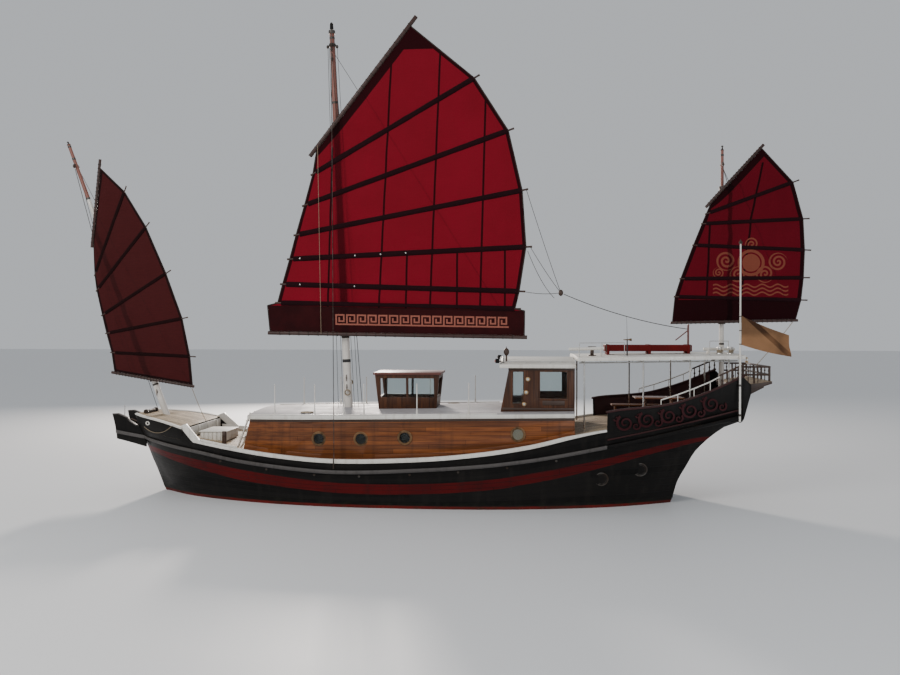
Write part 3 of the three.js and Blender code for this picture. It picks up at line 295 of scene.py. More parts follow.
def shaded(tree, colour, value):
    """Colour multiplied by a value."""
    grey = put(tree, "ShaderNodeCombineColor", {0: value, 1: value, 2: value}).outputs[0]
    return mixed(tree, 1.0, colour, grey, "MULTIPLY")


def scaled(tree, vector, factors):
    """Vector stretched along its axes."""
    return put(tree, "ShaderNodeVectorMath", {0: vector, 1: factors}, operation="MULTIPLY").outputs[0]


def axis_of(tree, place, axis):
    """One coordinate of a place."""
    return put(tree, "ShaderNodeSeparateXYZ", {0: place}).outputs[axis]


def noised(tree, vector, scale, detail=3.0, roughness=0.55):
    """Noise from 0 to 1."""
    inputs = {"Vector": vector, "Scale": scale, "Detail": detail, "Roughness": roughness}
    return put(tree, "ShaderNodeTexNoise", inputs).outputs["Fac"]


def scattered(tree, value):
    """A random number from 0 to 1 for each value."""
    return put(tree, "ShaderNodeTexWhiteNoise", {"W": value}, noise_dimensions="1D").outputs["Value"]


NUMBER, VECTOR = "NodeSocketFloat", "NodeSocketVector"


def new_group(name, inputs, outputs):
    """Node group with named sockets: inputs holds the kind and value of each, outputs are numbers."""
    tree = bpy.data.node_groups.new(name, "ShaderNodeTree")
    for label, (kind, value) in inputs.items():
        socket = tree.interface.new_socket(name=label, in_out="INPUT", socket_type=kind)
        if value is not None:
            socket.default_value = value
    for label in outputs:
        tree.interface.new_socket(name=label, in_out="OUTPUT", socket_type=NUMBER)
    return tree, tree.nodes.new("NodeGroupInput").outputs, tree.nodes.new("NodeGroupOutput")


def build_grain():
    """Wood grain: long streaks along one axis, with pores. Stretch is the fineness along X, Y and Z."""
    inputs = {"Place": (VECTOR, None), "Stretch": (VECTOR, (1.0, 14.0, 14.0))}
    tree, given, out = new_group("wood_grain", inputs, ("Figure", "Pores"))
    place = scaled(tree, given["Place"], given["Stretch"])
    bend = noised(tree, place, 0.35, 2.0)
    bent = put(tree, "ShaderNodeVectorMath", {0: place, 1: bend}, operation="ADD").outputs[0]
    feed(tree, out, {
        "Figure": stepped(tree, noised(tree, bent, 1.0, 5.0, 0.6), 0.3, 0.7),
        "Pores": stepped(tree, noised(tree, bent, 6.0, 2.0, 0.7), 0.35, 0.75),
    })
    return tree


def build_boards():
    """Boards side by side: seams between them and a tone for each. Across and Along are places in metres."""
    sizes = {"Across": 0.0, "Along": 0.0, "Width": 0.1, "Length": 3.0, "Seam": 0.005}
    inputs = {label: (NUMBER, size) for label, size in sizes.items()}
    tree, given, out = new_group("boards", inputs, ("Seams", "Tone"))
    lane = calc(tree, "DIVIDE", given["Across"], given["Width"])
    row = calc(tree, "FLOOR", lane)
    run = plus(tree, calc(tree, "DIVIDE", given["Along"], given["Length"]), scattered(tree, row))
    board = plus(tree, times(tree, calc(tree, "FLOOR", run), 7.31), times(tree, row, 1.77))
    masks = []
    for line, size in ((lane, "Width"), (run, "Length")):
        reach = times(tree, calc(tree, "PINGPONG", line, 0.5), given[size])
        masks.append(stepped(tree, reach, times(tree, given["Seam"], 0.3), given["Seam"], 1.0, 0.0))
    feed(tree, out, {"Seams": calc(tree, "MAXIMUM", *masks), "Tone": scattered(tree, board)})
    return tree


def build_wear():
    """Worn edges: a broken mask along the sharp edges of a piece."""
    inputs = {"Place": (VECTOR, None), "Reach": (NUMBER, 0.012), "Amount": (NUMBER, 0.5)}
    tree, given, out = new_group("worn_edges", inputs, ("Mask",))
    round_normal = put(tree, "ShaderNodeBevel", {"Radius": given["Reach"]}, samples=4).outputs["Normal"]
    flat_normal = put(tree, "ShaderNodeNewGeometry").outputs["Normal"]
    dot = put(tree, "ShaderNodeVectorMath", {0: round_normal, 1: flat_normal}, operation="DOT_PRODUCT")
    edge = stepped(tree, dot.outputs["Value"], 0.995, 0.86)
    chips = stepped(tree, noised(tree, given["Place"], 9.0, 5.0, 0.7), 0.42, 0.62)
    feed(tree, out, {"Mask": calc(tree, "MULTIPLY", times(tree, edge, chips), given["Amount"], clamp=True)})
    return tree


def build_weather():
    """Sun, salt and rain: broad blotches, streaks that run down, and fine specks."""
    inputs = {"Place": (VECTOR, None), "Size": (NUMBER, 1.0)}
    tree, given, out = new_group("weathering", inputs, ("Blotches", "Streaks", "Specks"))
    place = given["Place"]
    inverse = calc(tree, "DIVIDE", 1.0, given["Size"])
    blotches = noised(tree, place, times(tree, inverse, 0.9), 4.0, 0.6)
    runs = noised(tree, scaled(tree, place, (7.0, 7.0, 0.5)), inverse, 4.0, 0.6)
    specks = noised(tree, place, times(tree, inverse, 38.0), 2.0, 0.6)
    feed(tree, out, {
        "Blotches": stepped(tree, blotches, 0.32, 0.68), "Streaks": stepped(tree, runs, 0.48, 0.74),
        "Specks": stepped(tree, specks, 0.6, 0.72),
    })
    return tree


def build_weave():
    """Woven cloth: threads both ways as a height, with slubs."""
    inputs = {"Place": (VECTOR, None), "Pitch": (NUMBER, 0.006)}
    tree, given, out = new_group("weave", inputs, ("Threads", "Slubs"))
    turns = calc(tree, "DIVIDE", math.tau, given["Pitch"])
    places = [axis_of(tree, given["Place"], axis) for axis in ("X", "Z")]
    waves = [calc(tree, "SINE", times(tree, place, turns)) for place in places]
    feed(tree, out, {
        "Threads": calc(tree, "MULTIPLY_ADD", times(tree, *waves), 0.5, 0.5),
        "Slubs": noised(tree, scaled(tree, given["Place"], (3.0, 3.0, 40.0)), 1.0, 3.0),
    })
    return tree


GRAIN = build_grain()
BOARDS = build_boards()
WEAR = build_wear()
WEATHER = build_weather()
WEAVE = build_weave()


def use(tree, group, **inputs):
    """Outputs of a node group placed with its values."""
    return put(tree, "ShaderNodeGroup", inputs, node_tree=group).outputs


def new_material(name):
    """Material with its node tree, its Principled shader and the Object place of the surface."""
    material = bpy.data.materials.new(name)
    material.use_nodes = True
    tree = material.node_tree
    place = put(tree, "ShaderNodeTexCoord").outputs["Object"]
    return material, tree, tree.nodes["Principled BSDF"], place


def bumped(tree, shader, height, strength, distance):
    """Bump from a height, into the shader's normal."""
    bump = put(tree, "ShaderNodeBump", {"Height": height, "Strength": strength, "Distance": distance})
    tree.links.new(bump.outputs["Normal"], shader.inputs["Normal"])


# Wood and paint


def boarded(name, dark, light, seam, across, width, grain, rough, coat, slope=0.0, gap=0.006, wear=None):
    """Timber in boards. across is the axis that the boards lie side by side on, and slope tilts them
    along X; grain is the stretch of the grain; gap is the width of a seam; wear is the colour of the
    worn edges."""
    material, tree, shader, place = new_material(name)
    lane = axis_of(tree, place, across)
    run = axis_of(tree, place, "Z" if across != "Z" and grain[2] < 2 else "X")
    if slope:
        lane = minus(tree, lane, times(tree, run, slope))
    boards = use(tree, BOARDS, Across=lane, Along=run, Width=width, Length=3.4, Seam=gap)
    wood = use(tree, GRAIN, Place=place, Stretch=grain)
    sky = use(tree, WEATHER, Place=place, Size=1.3)
    tone = calc(tree, "MULTIPLY_ADD", boards["Tone"], 0.55, 0.68)
    colour = shaded(tree, mixed(tree, wood["Figure"], dark, light), tone)
    colour = mixed(tree, boards["Seams"], glazed(tree, colour, seam, sky["Streaks"], 0.35), seam)
    if wear:
        edge = use(tree, WEAR, Place=place, Reach=0.012, Amount=0.8)
        colour = mixed(tree, edge["Mask"], colour, wear)
    dull = calc(tree, "MULTIPLY_ADD", sky["Blotches"], 0.16, rough)
    feed(tree, shader, {
        "Base Color": colour, "Roughness": plus(tree, dull, times(tree, boards["Seams"], 0.3)),
        "Specular IOR Level": 0.30, "Coat Weight": coat, "Coat Roughness": 0.18,
    })
    bumped(tree, shader, minus(tree, times(tree, wood["Pores"], 0.16), boards["Seams"]), 0.6, 0.004)
    return material


def painted(name, base, stain, worn, rough, wear=0.7, streaks=0.5, grain=(1.2, 16.0, 16.0), coat=0.0,
            shine=0.5):
    """Brushed paint on timber: faint grain, rain streaks, grime and chipped edges."""
    material, tree, shader, place = new_material(name)
    wood = use(tree, GRAIN, Place=place, Stretch=grain)
    sky = use(tree, WEATHER, Place=place, Size=1.0)
    edge = use(tree, WEAR, Place=place, Reach=0.014, Amount=wear)
    colour = base
    for mask, strength in (("Streaks", streaks), ("Blotches", 0.22), ("Specks", 0.35)):
        colour = glazed(tree, colour, stain, sky[mask], strength)
    dull = calc(tree, "MULTIPLY_ADD", sky["Blotches"], 0.18, rough)
    feed(tree, shader, {
        "Base Color": mixed(tree, edge["Mask"], colour, worn),
        "Roughness": plus(tree, dull, times(tree, edge["Mask"], 0.2)),
        "Specular IOR Level": shine, "Coat Weight": coat, "Coat Roughness": 0.12,
    })
    height = plus(tree, times(tree, wood["Pores"], 0.3), times(tree, edge["Mask"], -0.7))
    bumped(tree, shader, height, 0.35, 0.003)
    return material


def metal(name, base, dull, rough, spotted=0.4):
    """Cast or rolled metal with tarnish."""
    material, tree, shader, place = new_material(name)
    sky = use(tree, WEATHER, Place=place, Size=0.25)
    edge = use(tree, WEAR, Place=place, Reach=0.006, Amount=0.6)
    tarnish = times(tree, sky["Blotches"], spotted)
    feed(tree, shader, {
        "Base Color": glazed(tree, mixed(tree, tarnish, base, dull), base, edge["Mask"], 0.5),
        "Metallic": 0.95, "Roughness": calc(tree, "MULTIPLY_ADD", tarnish, 0.5, rough),
    })
    bumped(tree, shader, noised(tree, place, 60.0, 3.0), 0.15, 0.002)
    return material


def hull_paint():
    """Black planking with a dark red band below the rub rail, red antifouling under the waterline, and
    plank seams that follow the sheer. The skin's two maps give the place on it: strakes is metres along
    and up the planking; trims is the red band's half height and the metres above its middle."""
    material, tree, shader, place = new_material("hull_paint")
    strakes = put(tree, "ShaderNodeUVMap", uv_map="strakes").outputs["UV"]
    trims = put(tree, "ShaderNodeUVMap", uv_map="trims").outputs["UV"]
    boards = use(tree, BOARDS, Across=axis_of(tree, strakes, "Y"), Along=axis_of(tree, strakes, "X"),
                 Width=0.19, Length=4.6, Seam=0.009)
    sky = use(tree, WEATHER, Place=place, Size=1.6)
    wood = use(tree, GRAIN, Place=place, Stretch=(0.9, 12.0, 12.0))
    height = axis_of(tree, place, "Z")
    ragged = calc(tree, "MULTIPLY_ADD", noised(tree, place, 5.0, 4.0), 0.02, -0.01)

    black = mixed(tree, boards["Tone"], (0.0030, 0.0027, 0.0025), (0.0075, 0.0066, 0.0060))
    black = glazed(tree, black, (0.022, 0.018, 0.015), sky["Streaks"], 0.4)
    black = glazed(tree, black, (0.012, 0.010, 0.009), sky["Blotches"], 0.25)
    red = mixed(tree, sky["Blotches"], (0.080, 0.0032, 0.0036), (0.055, 0.0028, 0.0032))
    red = glazed(tree, red, (0.024, 0.005, 0.0048), sky["Streaks"], 0.4)

    off = calc(tree, "ABSOLUTE", plus(tree, axis_of(tree, trims, "Y"), ragged))
    band = stepped(tree, minus(tree, off, axis_of(tree, trims, "X")), -0.004, 0.006, 1.0, 0.0)
    under = stepped(tree, plus(tree, height, ragged), 0.085, 0.095, 1.0, 0.0)
    bottom = mixed(tree, sky["Blotches"], (0.13, 0.010, 0.008), (0.075, 0.010, 0.008))
    colour = mixed(tree, under, mixed(tree, band, black, red), bottom)
    patches = stepped(tree, noised(tree, scaled(tree, place, (2.5, 2.5, 6.0)), 1.5, 5.0), 0.4, 0.7)
    grime = times(tree, stepped(tree, height, 0.30, 0.02), patches)
    colour = glazed(tree, colour, (0.020, 0.024, 0.013), grime, 0.55)
    dull = calc(tree, "MULTIPLY_ADD", sky["Blotches"], 0.14, 0.34)
    feed(tree, shader, {
        "Base Color": glazed(tree, colour, (0.003, 0.003, 0.003), boards["Seams"], 0.8),
        "Roughness": plus(tree, dull, times(tree, grime, 0.3)),
        "Specular IOR Level": 0.11, "Coat Weight": 0.02, "Coat Roughness": 0.2,
    })
    relief = minus(tree, times(tree, wood["Figure"], 0.22), boards["Seams"])
    bumped(tree, shader, plus(tree, relief, times(tree, boards["Tone"], 0.35)), 0.7, 0.008)
    return material


# Cloth, rope and glass

TAN_CLOTH = (0.115, 0.032, 0.021)
TAN_GLOW = (0.155, 0.045, 0.029)
FRET_CLOTH = (0.38, 0.135, 0.095)
SEAM_HALF, SEAM_SOFT = 0.030, 0.006


def near(tree, value, middle, reach):
    """1 where a value is within reach of a middle value."""
    return calc(tree, "COMPARE", value, middle, reach)


def widest(tree, masks):
    """Union of several masks."""
    whole = masks[0]
    for mask in masks[1:]:
        whole = calc(tree, "MAXIMUM", whole, mask)
    return whole


def seam_line(tree, x, z, seam):
    """Mask of a straight seam between two places in the plane of a sail."""
    x0, z0, x1, z1 = seam
    length = math.hypot(x1 - x0, z1 - z0)
    a, b = (z1 - z0) / length, -(x1 - x0) / length
    off = plus(tree, calc(tree, "MULTIPLY_ADD", x, a, -(a * x0 + b * z0)), times(tree, z, b))
    off = calc(tree, "ABSOLUTE", off)
    line = stepped(tree, off, SEAM_HALF - SEAM_SOFT, SEAM_HALF + SEAM_SOFT, 1.0, 0.0)
    return times(tree, line, near(tree, z, (z0 + z1) / 2, (z1 - z0) / 2))


# One repeat of the key fret on a square of seven by seven: middle and half size of each stroke

FRET_STROKES = [
    (3.5, 0.5, 3.5, 0.5), (0.5, 3.5, 0.5, 3.5), (3.0, 6.5, 3.0, 0.5),
    (5.5, 4.5, 0.5, 2.5), (4.0, 2.5, 2.0, 0.5), (2.5, 3.5, 0.5, 1.5),
]
FRET = {"start": -2.42, "low": 5.291, "slope": -0.0175, "size": 0.34, "repeats": 16}


def key_fret(tree, x, z):
    """Mask of a border of key fret along the foot of the main sail."""
    along = calc(tree, "DIVIDE", minus(tree, x, FRET["start"]), FRET["size"])
    column = times(tree, calc(tree, "FRACT", along), 7.0)
    foot = calc(tree, "MULTIPLY_ADD", x, FRET["slope"], FRET["low"])
    row = calc(tree, "DIVIDE", minus(tree, z, foot), FRET["size"] / 7)
    strokes = []
    for mid_x, mid_z, half_x, half_z in FRET_STROKES:
        strokes.append(times(tree, near(tree, column, mid_x, half_x), near(tree, row, mid_z, half_z)))
    run = near(tree, along, FRET["repeats"] / 2, FRET["repeats"] / 2)
    return times(tree, widest(tree, strokes), run)


def spiral(tree, x, z, middle, radius, pitch, hand):
    """Mask of a flat spiral scroll; hand is 1 or -1."""
    dx, dz = minus(tree, x, middle[0]), minus(tree, z, middle[1])
    out = put(tree, "ShaderNodeCombineXYZ", {0: dx, 1: dz}).outputs[0]
    reach = put(tree, "ShaderNodeVectorMath", {0: out}, operation="LENGTH").outputs["Value"]
    turn = times(tree, calc(tree, "ARCTAN2", dz, dx), hand / math.tau)
    arm = calc(tree, "FRACT", minus(tree, calc(tree, "DIVIDE", reach, pitch), turn))
    return times(tree, near(tree, arm, 0.5, 0.24), calc(tree, "LESS_THAN", reach, radius))


# Emblem of the mizzen sail: sun and its ring, scrolls of cloud as place, radius, pitch and hand, and
# waves under them

SUN = {"at": (10.36, 7.22), "disc": 0.27, "ring": (0.36, 0.045)}
CLOUDS = [
    ((9.62, 7.28), 0.30, 0.135, 1.0), ((9.98, 6.86), 0.25, 0.115, -1.0), ((10.78, 6.88), 0.27, 0.120, 1.0),
    ((11.16, 7.24), 0.28, 0.125, -1.0), ((10.38, 7.78), 0.20, 0.100, 1.0), ((9.40, 6.92), 0.17, 0.085, -1.0),
]
WAVES = {"levels": (6.52, 6.40, 6.28), "middle": 10.35, "half": 1.12, "height": 0.045, "length": 0.46}


def sun_and_clouds(tree, x, z):
    """Mask of the mizzen sail's emblem."""
    dx, dz = minus(tree, x, SUN["at"][0]), minus(tree, z, SUN["at"][1])
    reach = calc(tree, "SQRT", plus(tree, times(tree, dx, dx), times(tree, dz, dz)))
    marks = [calc(tree, "LESS_THAN", reach, SUN["disc"]), near(tree, reach, *SUN["ring"])]
    marks += [spiral(tree, x, z, *cloud) for cloud in CLOUDS]
    swell = calc(tree, "SINE", times(tree, x, math.tau / WAVES["length"]))
    crest = minus(tree, z, times(tree, swell, WAVES["height"]))
    lines = widest(tree, [near(tree, crest, level, 0.024) for level in WAVES["levels"]])
    marks.append(times(tree, lines, near(tree, x, WAVES["middle"], WAVES["half"])))
    return widest(tree, marks)


def let_through(tree, shader, light, share):
    """Adds a cloth's share of the light from behind, in the colour light."""
    through = put(tree, "ShaderNodeBsdfTranslucent", {"Color": light})
    both = put(tree, "ShaderNodeMixShader", {0: share, 1: shader.outputs[0], 2: through.outputs[0]})
    tree.links.new(both.outputs[0], tree.nodes["Material Output"].inputs["Surface"])


def sailcloth(name, deep, bright, dark, glow, rig, head, patch=None, band=None, emblem=None, thin=0.5):
    """Woven sail: seams between its cloths, dark tape at its edges and along the yard, wrinkles and light
    through it. The map cloth is the place across and up the sail in metres from its edges. head is the
    depth of the doubled cloth at the yard, patch the height over which the peak is doubled, band the
    height of the foot's dark cloth, emblem draws a mask of tan cloth sewn on, and thin is the share of
    light that comes through."""
    material, tree, shader, place = new_material(name)
    x, z = axis_of(tree, place, "X"), axis_of(tree, place, "Z")
    edges = put(tree, "ShaderNodeUVMap", uv_map="cloth").outputs["UV"]
    sky = use(tree, WEATHER, Place=place, Size=2.2)
    cloth = use(tree, WEAVE, Place=place, Pitch=0.016)

    marks = []
    for axis, wide in (("X", SAILS[rig]["tape"]), ("Y", head)):
        marks.append(stepped(tree, axis_of(tree, edges, axis), wide, wide + 0.012, 1.0, 0.0))
    marks += [seam_line(tree, x, z, seam) for seam in SAILS[rig]["seams"]]
    if patch is not None:
        marks.append(stepped(tree, z, patch, patch + 0.02))
    if band is not None:
        marks.append(stepped(tree, z, band - 0.01, band + 0.01, 1.0, 0.0))
    heavy = times(tree, widest(tree, marks), 0.93)

    worn = times(tree, sky["Blotches"], 0.4)
    colour = glazed(tree, mixed(tree, worn, deep, bright), bright, sky["Streaks"], 0.30)
    colour = shaded(tree, colour, stepped(tree, cloth["Slubs"], 0.35, 0.65, 0.86, 1.08))
    colour = mixed(tree, heavy, colour, dark)
    light = mixed(tree, heavy, glazed(tree, glow, bright, worn, 0.5), dark)
    height = calc(tree, "MULTIPLY_ADD", cloth["Threads"], 0.12, times(tree, heavy, 0.8))
    if emblem is not None:
        sewn = emblem(tree, x, z)
        colour = glazed(tree, colour, TAN_CLOTH, sewn, 0.92)
        light = mixed(tree, sewn, light, TAN_GLOW)
        height = plus(tree, height, times(tree, sewn, 0.7))
    feed(tree, shader, {
        "Base Color": colour, "Roughness": 0.82, "Specular IOR Level": 0.12, "Sheen Weight": 0.04,
        "Sheen Roughness": 0.5,
    })
    height = plus(tree, height, times(tree, noised(tree, place, 3.2, 3.0), 0.6))
    bumped(tree, shader, height, 0.5, 0.006)
    let_through(tree, shader, light, thin)
    return material


def plain_cloth(name, base, shadow, glow=None, share=0.0, border=None, fold_shadow=None):
    """Thin or thick cloth; share is how much light comes through and glow its colour. border draws a mask
    of tan cloth sewn on, and fold_shadow is a dark sloping stripe of painted shadow along a fold: its
    colour, slope, middle and half width."""
    material, tree, shader, place = new_material(name)
    cloth = use(tree, WEAVE, Place=place, Pitch=0.012)
    sky = use(tree, WEATHER, Place=place, Size=0.6)
    colour = glazed(tree, base, shadow, sky["Blotches"], 0.5)
    if border is not None:
        sewn = border(tree, axis_of(tree, place, "X"), axis_of(tree, place, "Z"))
        colour = glazed(tree, colour, FRET_CLOTH, sewn, 0.92)
    # A dark sloping stripe painted as the shadow of a fold
    if fold_shadow is not None:
        dark, slope, middle, half = fold_shadow
        line = calc(tree, "MULTIPLY_ADD", axis_of(tree, place, "X"), slope, axis_of(tree, place, "Z"))
        colour = mixed(tree, near(tree, line, middle, half), colour, dark)
    feed(tree, shader, {
        "Base Color": colour, "Roughness": 0.85, "Specular IOR Level": 0.10, "Sheen Weight": 0.02,
    })
    bumped(tree, shader, plus(tree, cloth["Threads"], cloth["Slubs"]), 0.3, 0.003)
    if share:
        let_through(tree, shader, mixed(tree, sky["Blotches"], glow, base), share)
    return material


def laid_rope(name, base, shadow):
    """Rope with dark hollows between its strands."""
    material, tree, shader, place = new_material(name)
    twist = noised(tree, place, 90.0, 2.0, 0.6)
    colour = mixed(tree, stepped(tree, twist, 0.35, 0.65), shadow, base)
    colour = glazed(tree, colour, shadow, noised(tree, place, 2.5, 3.0), 0.5)
    feed(tree, shader, {"Base Color": colour, "Roughness": 0.85})
    bumped(tree, shader, twist, 0.6, 0.004)
    return material


def window_glass():
    """Clear sheet glass with a film of salt."""
    material, tree, shader, place = new_material("sheet_glass")
    film = noised(tree, scaled(tree, place, (2.0, 2.0, 1.0)), 2.2, 4.0)
    feed(tree, shader, {
        "Base Color": (0.80, 0.86, 0.86), "Transmission Weight": 1.0, "IOR": 1.2,
        "Roughness": stepped(tree, film, 0.45, 0.75, 0.03, 0.16),
    })
    return material


def lamp_lens(name, colour):
    """Moulded lens of a lamp, with ribs."""
    material, tree, shader, place = new_material(name)
    ribs = calc(tree, "SINE", times(tree, axis_of(tree, place, "Z"), 500.0))
    feed(tree, shader, {
        "Base Color": mixed(tree, stepped(tree, ribs, -1.0, 1.0), colour, (0.9, 0.9, 0.86)),
        "Roughness": 0.12, "Transmission Weight": 0.35,
    })
    bumped(tree, shader, ribs, 0.5, 0.002)
    return material


MAST_GRAIN = (16.0, 16.0, 1.2)
PLANK_GRAIN = (0.9, 16.0, 16.0)
DARK_CLOTH = (0.0055, 0.0012, 0.0018)
FINISH = {
    "hull": hull_paint(),
    "black": painted("black_paint", (0.0050, 0.0045, 0.0042), (0.020, 0.016, 0.014), (0.07, 0.040, 0.025),
                     0.42, wear=0.4, streaks=0.35, coat=0.02, shine=0.12),
    "grey": painted("grey_rail_paint", (0.066, 0.059, 0.056), (0.032, 0.027, 0.024), (0.15, 0.12, 0.09),
                    0.5, wear=0.9, streaks=0.8),
    "white": painted("white_paint", (0.70, 0.68, 0.63), (0.36, 0.31, 0.24), (0.33, 0.26, 0.18), 0.38,
                     wear=0.45, streaks=0.38),
    # Grey deck paint of the cabin top, darkened and tinted violet as painted shade from the sky
    "cabin_deck_shaded": painted("cabin_top_paint_and_shade", (0.42, 0.405, 0.415), (0.27, 0.245, 0.24), (0.33, 0.29, 0.25),
                          0.6, wear=0.2, streaks=0.6),
    "mast": painted("mast_paint", (0.66, 0.63, 0.585), (0.37, 0.31, 0.25), (0.40, 0.30, 0.20), 0.34,
                    wear=0.3, streaks=0.45, grain=MAST_GRAIN, coat=0.2),
    # Dark brown finish of each mast's upper part, above the white paint
    "mast_head": painted("brown_mast_head_finish", (0.21, 0.074, 0.053), (0.10, 0.036, 0.026),
                         (0.36, 0.19, 0.13), 0.42, wear=0.4, grain=(14.0, 14.0, 1.2)),
    "antifouling": painted("antifouling_paint", (0.21, 0.019, 0.013), (0.10, 0.018, 0.013),
                           (0.15, 0.03, 0.02), 0.6, wear=0.4),
    "maroon": painted("maroon_paint", (0.034, 0.0060, 0.0060), (0.016, 0.005, 0.005), (0.11, 0.040, 0.028),
                      0.45, wear=0.6, shine=0.3),
    "red_brown": painted("red_brown_paint", (0.125, 0.034, 0.024), (0.055, 0.018, 0.014),
                         (0.26, 0.11, 0.06), 0.42, wear=0.6),
    "ornament_red": painted("carved_red_paint", (0.034, 0.0030, 0.0050), (0.018, 0.0030, 0.0040),
                            (0.07, 0.022, 0.019), 0.50, wear=0.4, shine=0.2),
    "dark_wood": painted("dark_oiled_timber", (0.046, 0.022, 0.012), (0.018, 0.010, 0.007),
                         (0.17, 0.09, 0.05), 0.42, wear=0.8),
    "spar": painted("stained_spar", (0.040, 0.014, 0.009), (0.014, 0.007, 0.005), (0.12, 0.05, 0.03),
                    0.42, wear=0.5, grain=(2.0, 14.0, 2.0)),
    # Black rubber; it also colours the near-black boards of painted shade behind the cabin portholes
    "rubber": painted("black_rubber_and_shade", (0.012, 0.012, 0.012), (0.035, 0.033, 0.03), (0.03, 0.03, 0.03),
                      0.6, wear=0.2),
    "varnish": boarded("varnished_planks", (0.112, 0.029, 0.0055), (0.205, 0.062, 0.013),
                       (0.018, 0.006, 0.002), "Z", 0.128, PLANK_GRAIN, 0.36, 0.10, slope=0.0154,
                       wear=(0.34, 0.15, 0.055)),
    "bright_deckwork": boarded("varnished_joinery", (0.120, 0.038, 0.011), (0.215, 0.078, 0.024),
                               (0.022, 0.008, 0.004), "Y", 0.13, PLANK_GRAIN, 0.32, 0.25,
                               wear=(0.32, 0.15, 0.06)),
    "dark_varnish": boarded("dark_varnish", (0.036, 0.0115, 0.0045), (0.088, 0.030, 0.010),
                            (0.007, 0.003, 0.002), "X", 0.145, (16.0, 16.0, 0.9), 0.38, 0.06,
                            wear=(0.17, 0.07, 0.03)),
    "deck": boarded("deck_planks", (0.30, 0.215, 0.135), (0.46, 0.36, 0.24), (0.020, 0.016, 0.013),
                    "Y", 0.095, (0.8, 20.0, 20.0), 0.55, 0.0, gap=0.007),
    "steel": metal("rail_steel", (0.60, 0.60, 0.58), (0.24, 0.20, 0.16), 0.24),
    "iron": metal("black_iron", (0.10, 0.095, 0.09), (0.055, 0.034, 0.022), 0.45, spotted=0.8),
    "brass": metal("worn_brass", (0.50, 0.33, 0.15), (0.17, 0.10, 0.05), 0.28),
    "bronze": metal("cast_bronze", (0.26, 0.150, 0.075), (0.085, 0.066, 0.042), 0.42, spotted=0.8),
    "crimson": sailcloth("crimson_sailcloth", (0.036, 0.0013, 0.0030), (0.048, 0.0017, 0.0038), DARK_CLOTH,
                         (0.175, 0.0050, 0.0160), "main", 0.25, patch=13.9),
    "mizzen": sailcloth("mizzen_sailcloth", (0.028, 0.0011, 0.0024), (0.037, 0.0014, 0.0030), DARK_CLOTH,
                        (0.115, 0.0038, 0.0115), "mizzen", 0.20, band=6.10, emblem=sun_and_clouds),
    "brown_sail": sailcloth("brown_sailcloth", (0.030, 0.0052, 0.0056), (0.040, 0.0070, 0.0075),
                            (0.0080, 0.0022, 0.0024), (0.058, 0.0092, 0.0100), "fore", 0.10, thin=0.22),
    "foot_band": plain_cloth("foot_band_cloth", (0.020, 0.0036, 0.0044), (0.012, 0.0026, 0.0030),
                             (0.04, 0.005, 0.006), 0.2, border=key_fret),
    "pocket": plain_cloth("batten_pocket_cloth", (0.0190, 0.0046, 0.0066), (0.0130, 0.0034, 0.0048),
                          (0.03, 0.005, 0.007), 0.2),
    "brown_pocket": plain_cloth("brown_pocket_cloth", (0.0150, 0.0042, 0.0044), (0.0110, 0.0032, 0.0034),
                                (0.03, 0.006, 0.006), 0.2),
    # The flag's dark sloping stripe is painted shadow of a fold
    "flag": plain_cloth("buff_bunting", (0.22, 0.122, 0.064), (0.155, 0.084, 0.044), (0.27, 0.150, 0.078),
                        0.45, fold_shadow=((0.018, 0.010, 0.009), 0.95, 14.90, 0.10)),
    "cover": plain_cloth("red_canvas_cover", (0.12, 0.0085, 0.0080), (0.065, 0.0065, 0.0060)),
    "curtain": plain_cloth("cabin_curtain", (0.50, 0.45, 0.36), (0.36, 0.30, 0.22)),
    "rope": laid_rope("tan_rope", (0.42, 0.34, 0.23), (0.17, 0.125, 0.08)),
    "tarred": laid_rope("tarred_rope", (0.055, 0.042, 0.032), (0.018, 0.014, 0.011)),
    "glass": window_glass(),
    "lens_clear": lamp_lens("clear_lens", (0.72, 0.72, 0.68)),
    "lens_red": lamp_lens("red_lens", (0.55, 0.02, 0.015)),
}
BODY_OF = {node: body for body, nodes in frame["record"]["behaviour"]["bodies"].items() for node in nodes}
SIDES = (("port", -1), ("starboard", 1))


# Modelling helpers


def piece(name, bm, finish, body="ship", sharp=35.0, replaces=(), top=None):
    """Makes a named piece of a bmesh: smooth faces between sharp edges, its finish and its body.
    Faces that look up take the finish top where one is given."""
    limit = math.radians(sharp)
    for face in bm.faces:
        face.smooth = True
        if top and face.normal.z > 0.8:
            face.material_index = 1
    for edge in bm.edges:
        edge.smooth = len(edge.link_faces) != 2 or edge.calc_face_angle(0.0) < limit
    mesh = bpy.data.meshes.new(name)
    bm.to_mesh(mesh)
    bm.free()
    mesh.materials.append(FINISH[finish])
    if top:
        mesh.materials.append(FINISH[top])
    made = bpy.data.objects.new(name, mesh)
    bpy.context.scene.collection.objects.link(made)
    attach(made, body)
    if replaces:
        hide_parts(*replaces)
    return made


def soften(bm, width, segments=2, angle=30.0):
    """Rounds every edge sharper than an angle."""
    limit = math.radians(angle)
    sharp = [edge for edge in bm.edges if len(edge.link_faces) == 2 and edge.calc_face_angle(0.0) > limit]
    bmesh.ops.bevel(bm, geom=sharp, offset=width, offset_type="OFFSET", segments=segments, profile=0.5,
                    affect="EDGES", material=-1, clamp_overlap=True)
    return bm


def gather(parts):
    """One bmesh of several."""
    whole = bmesh.new()
    for part in parts:
        mesh = bpy.data.meshes.new("part")
        part.to_mesh(mesh)
        part.free()
        whole.from_mesh(mesh)
        bpy.data.meshes.remove(mesh)
    return whole


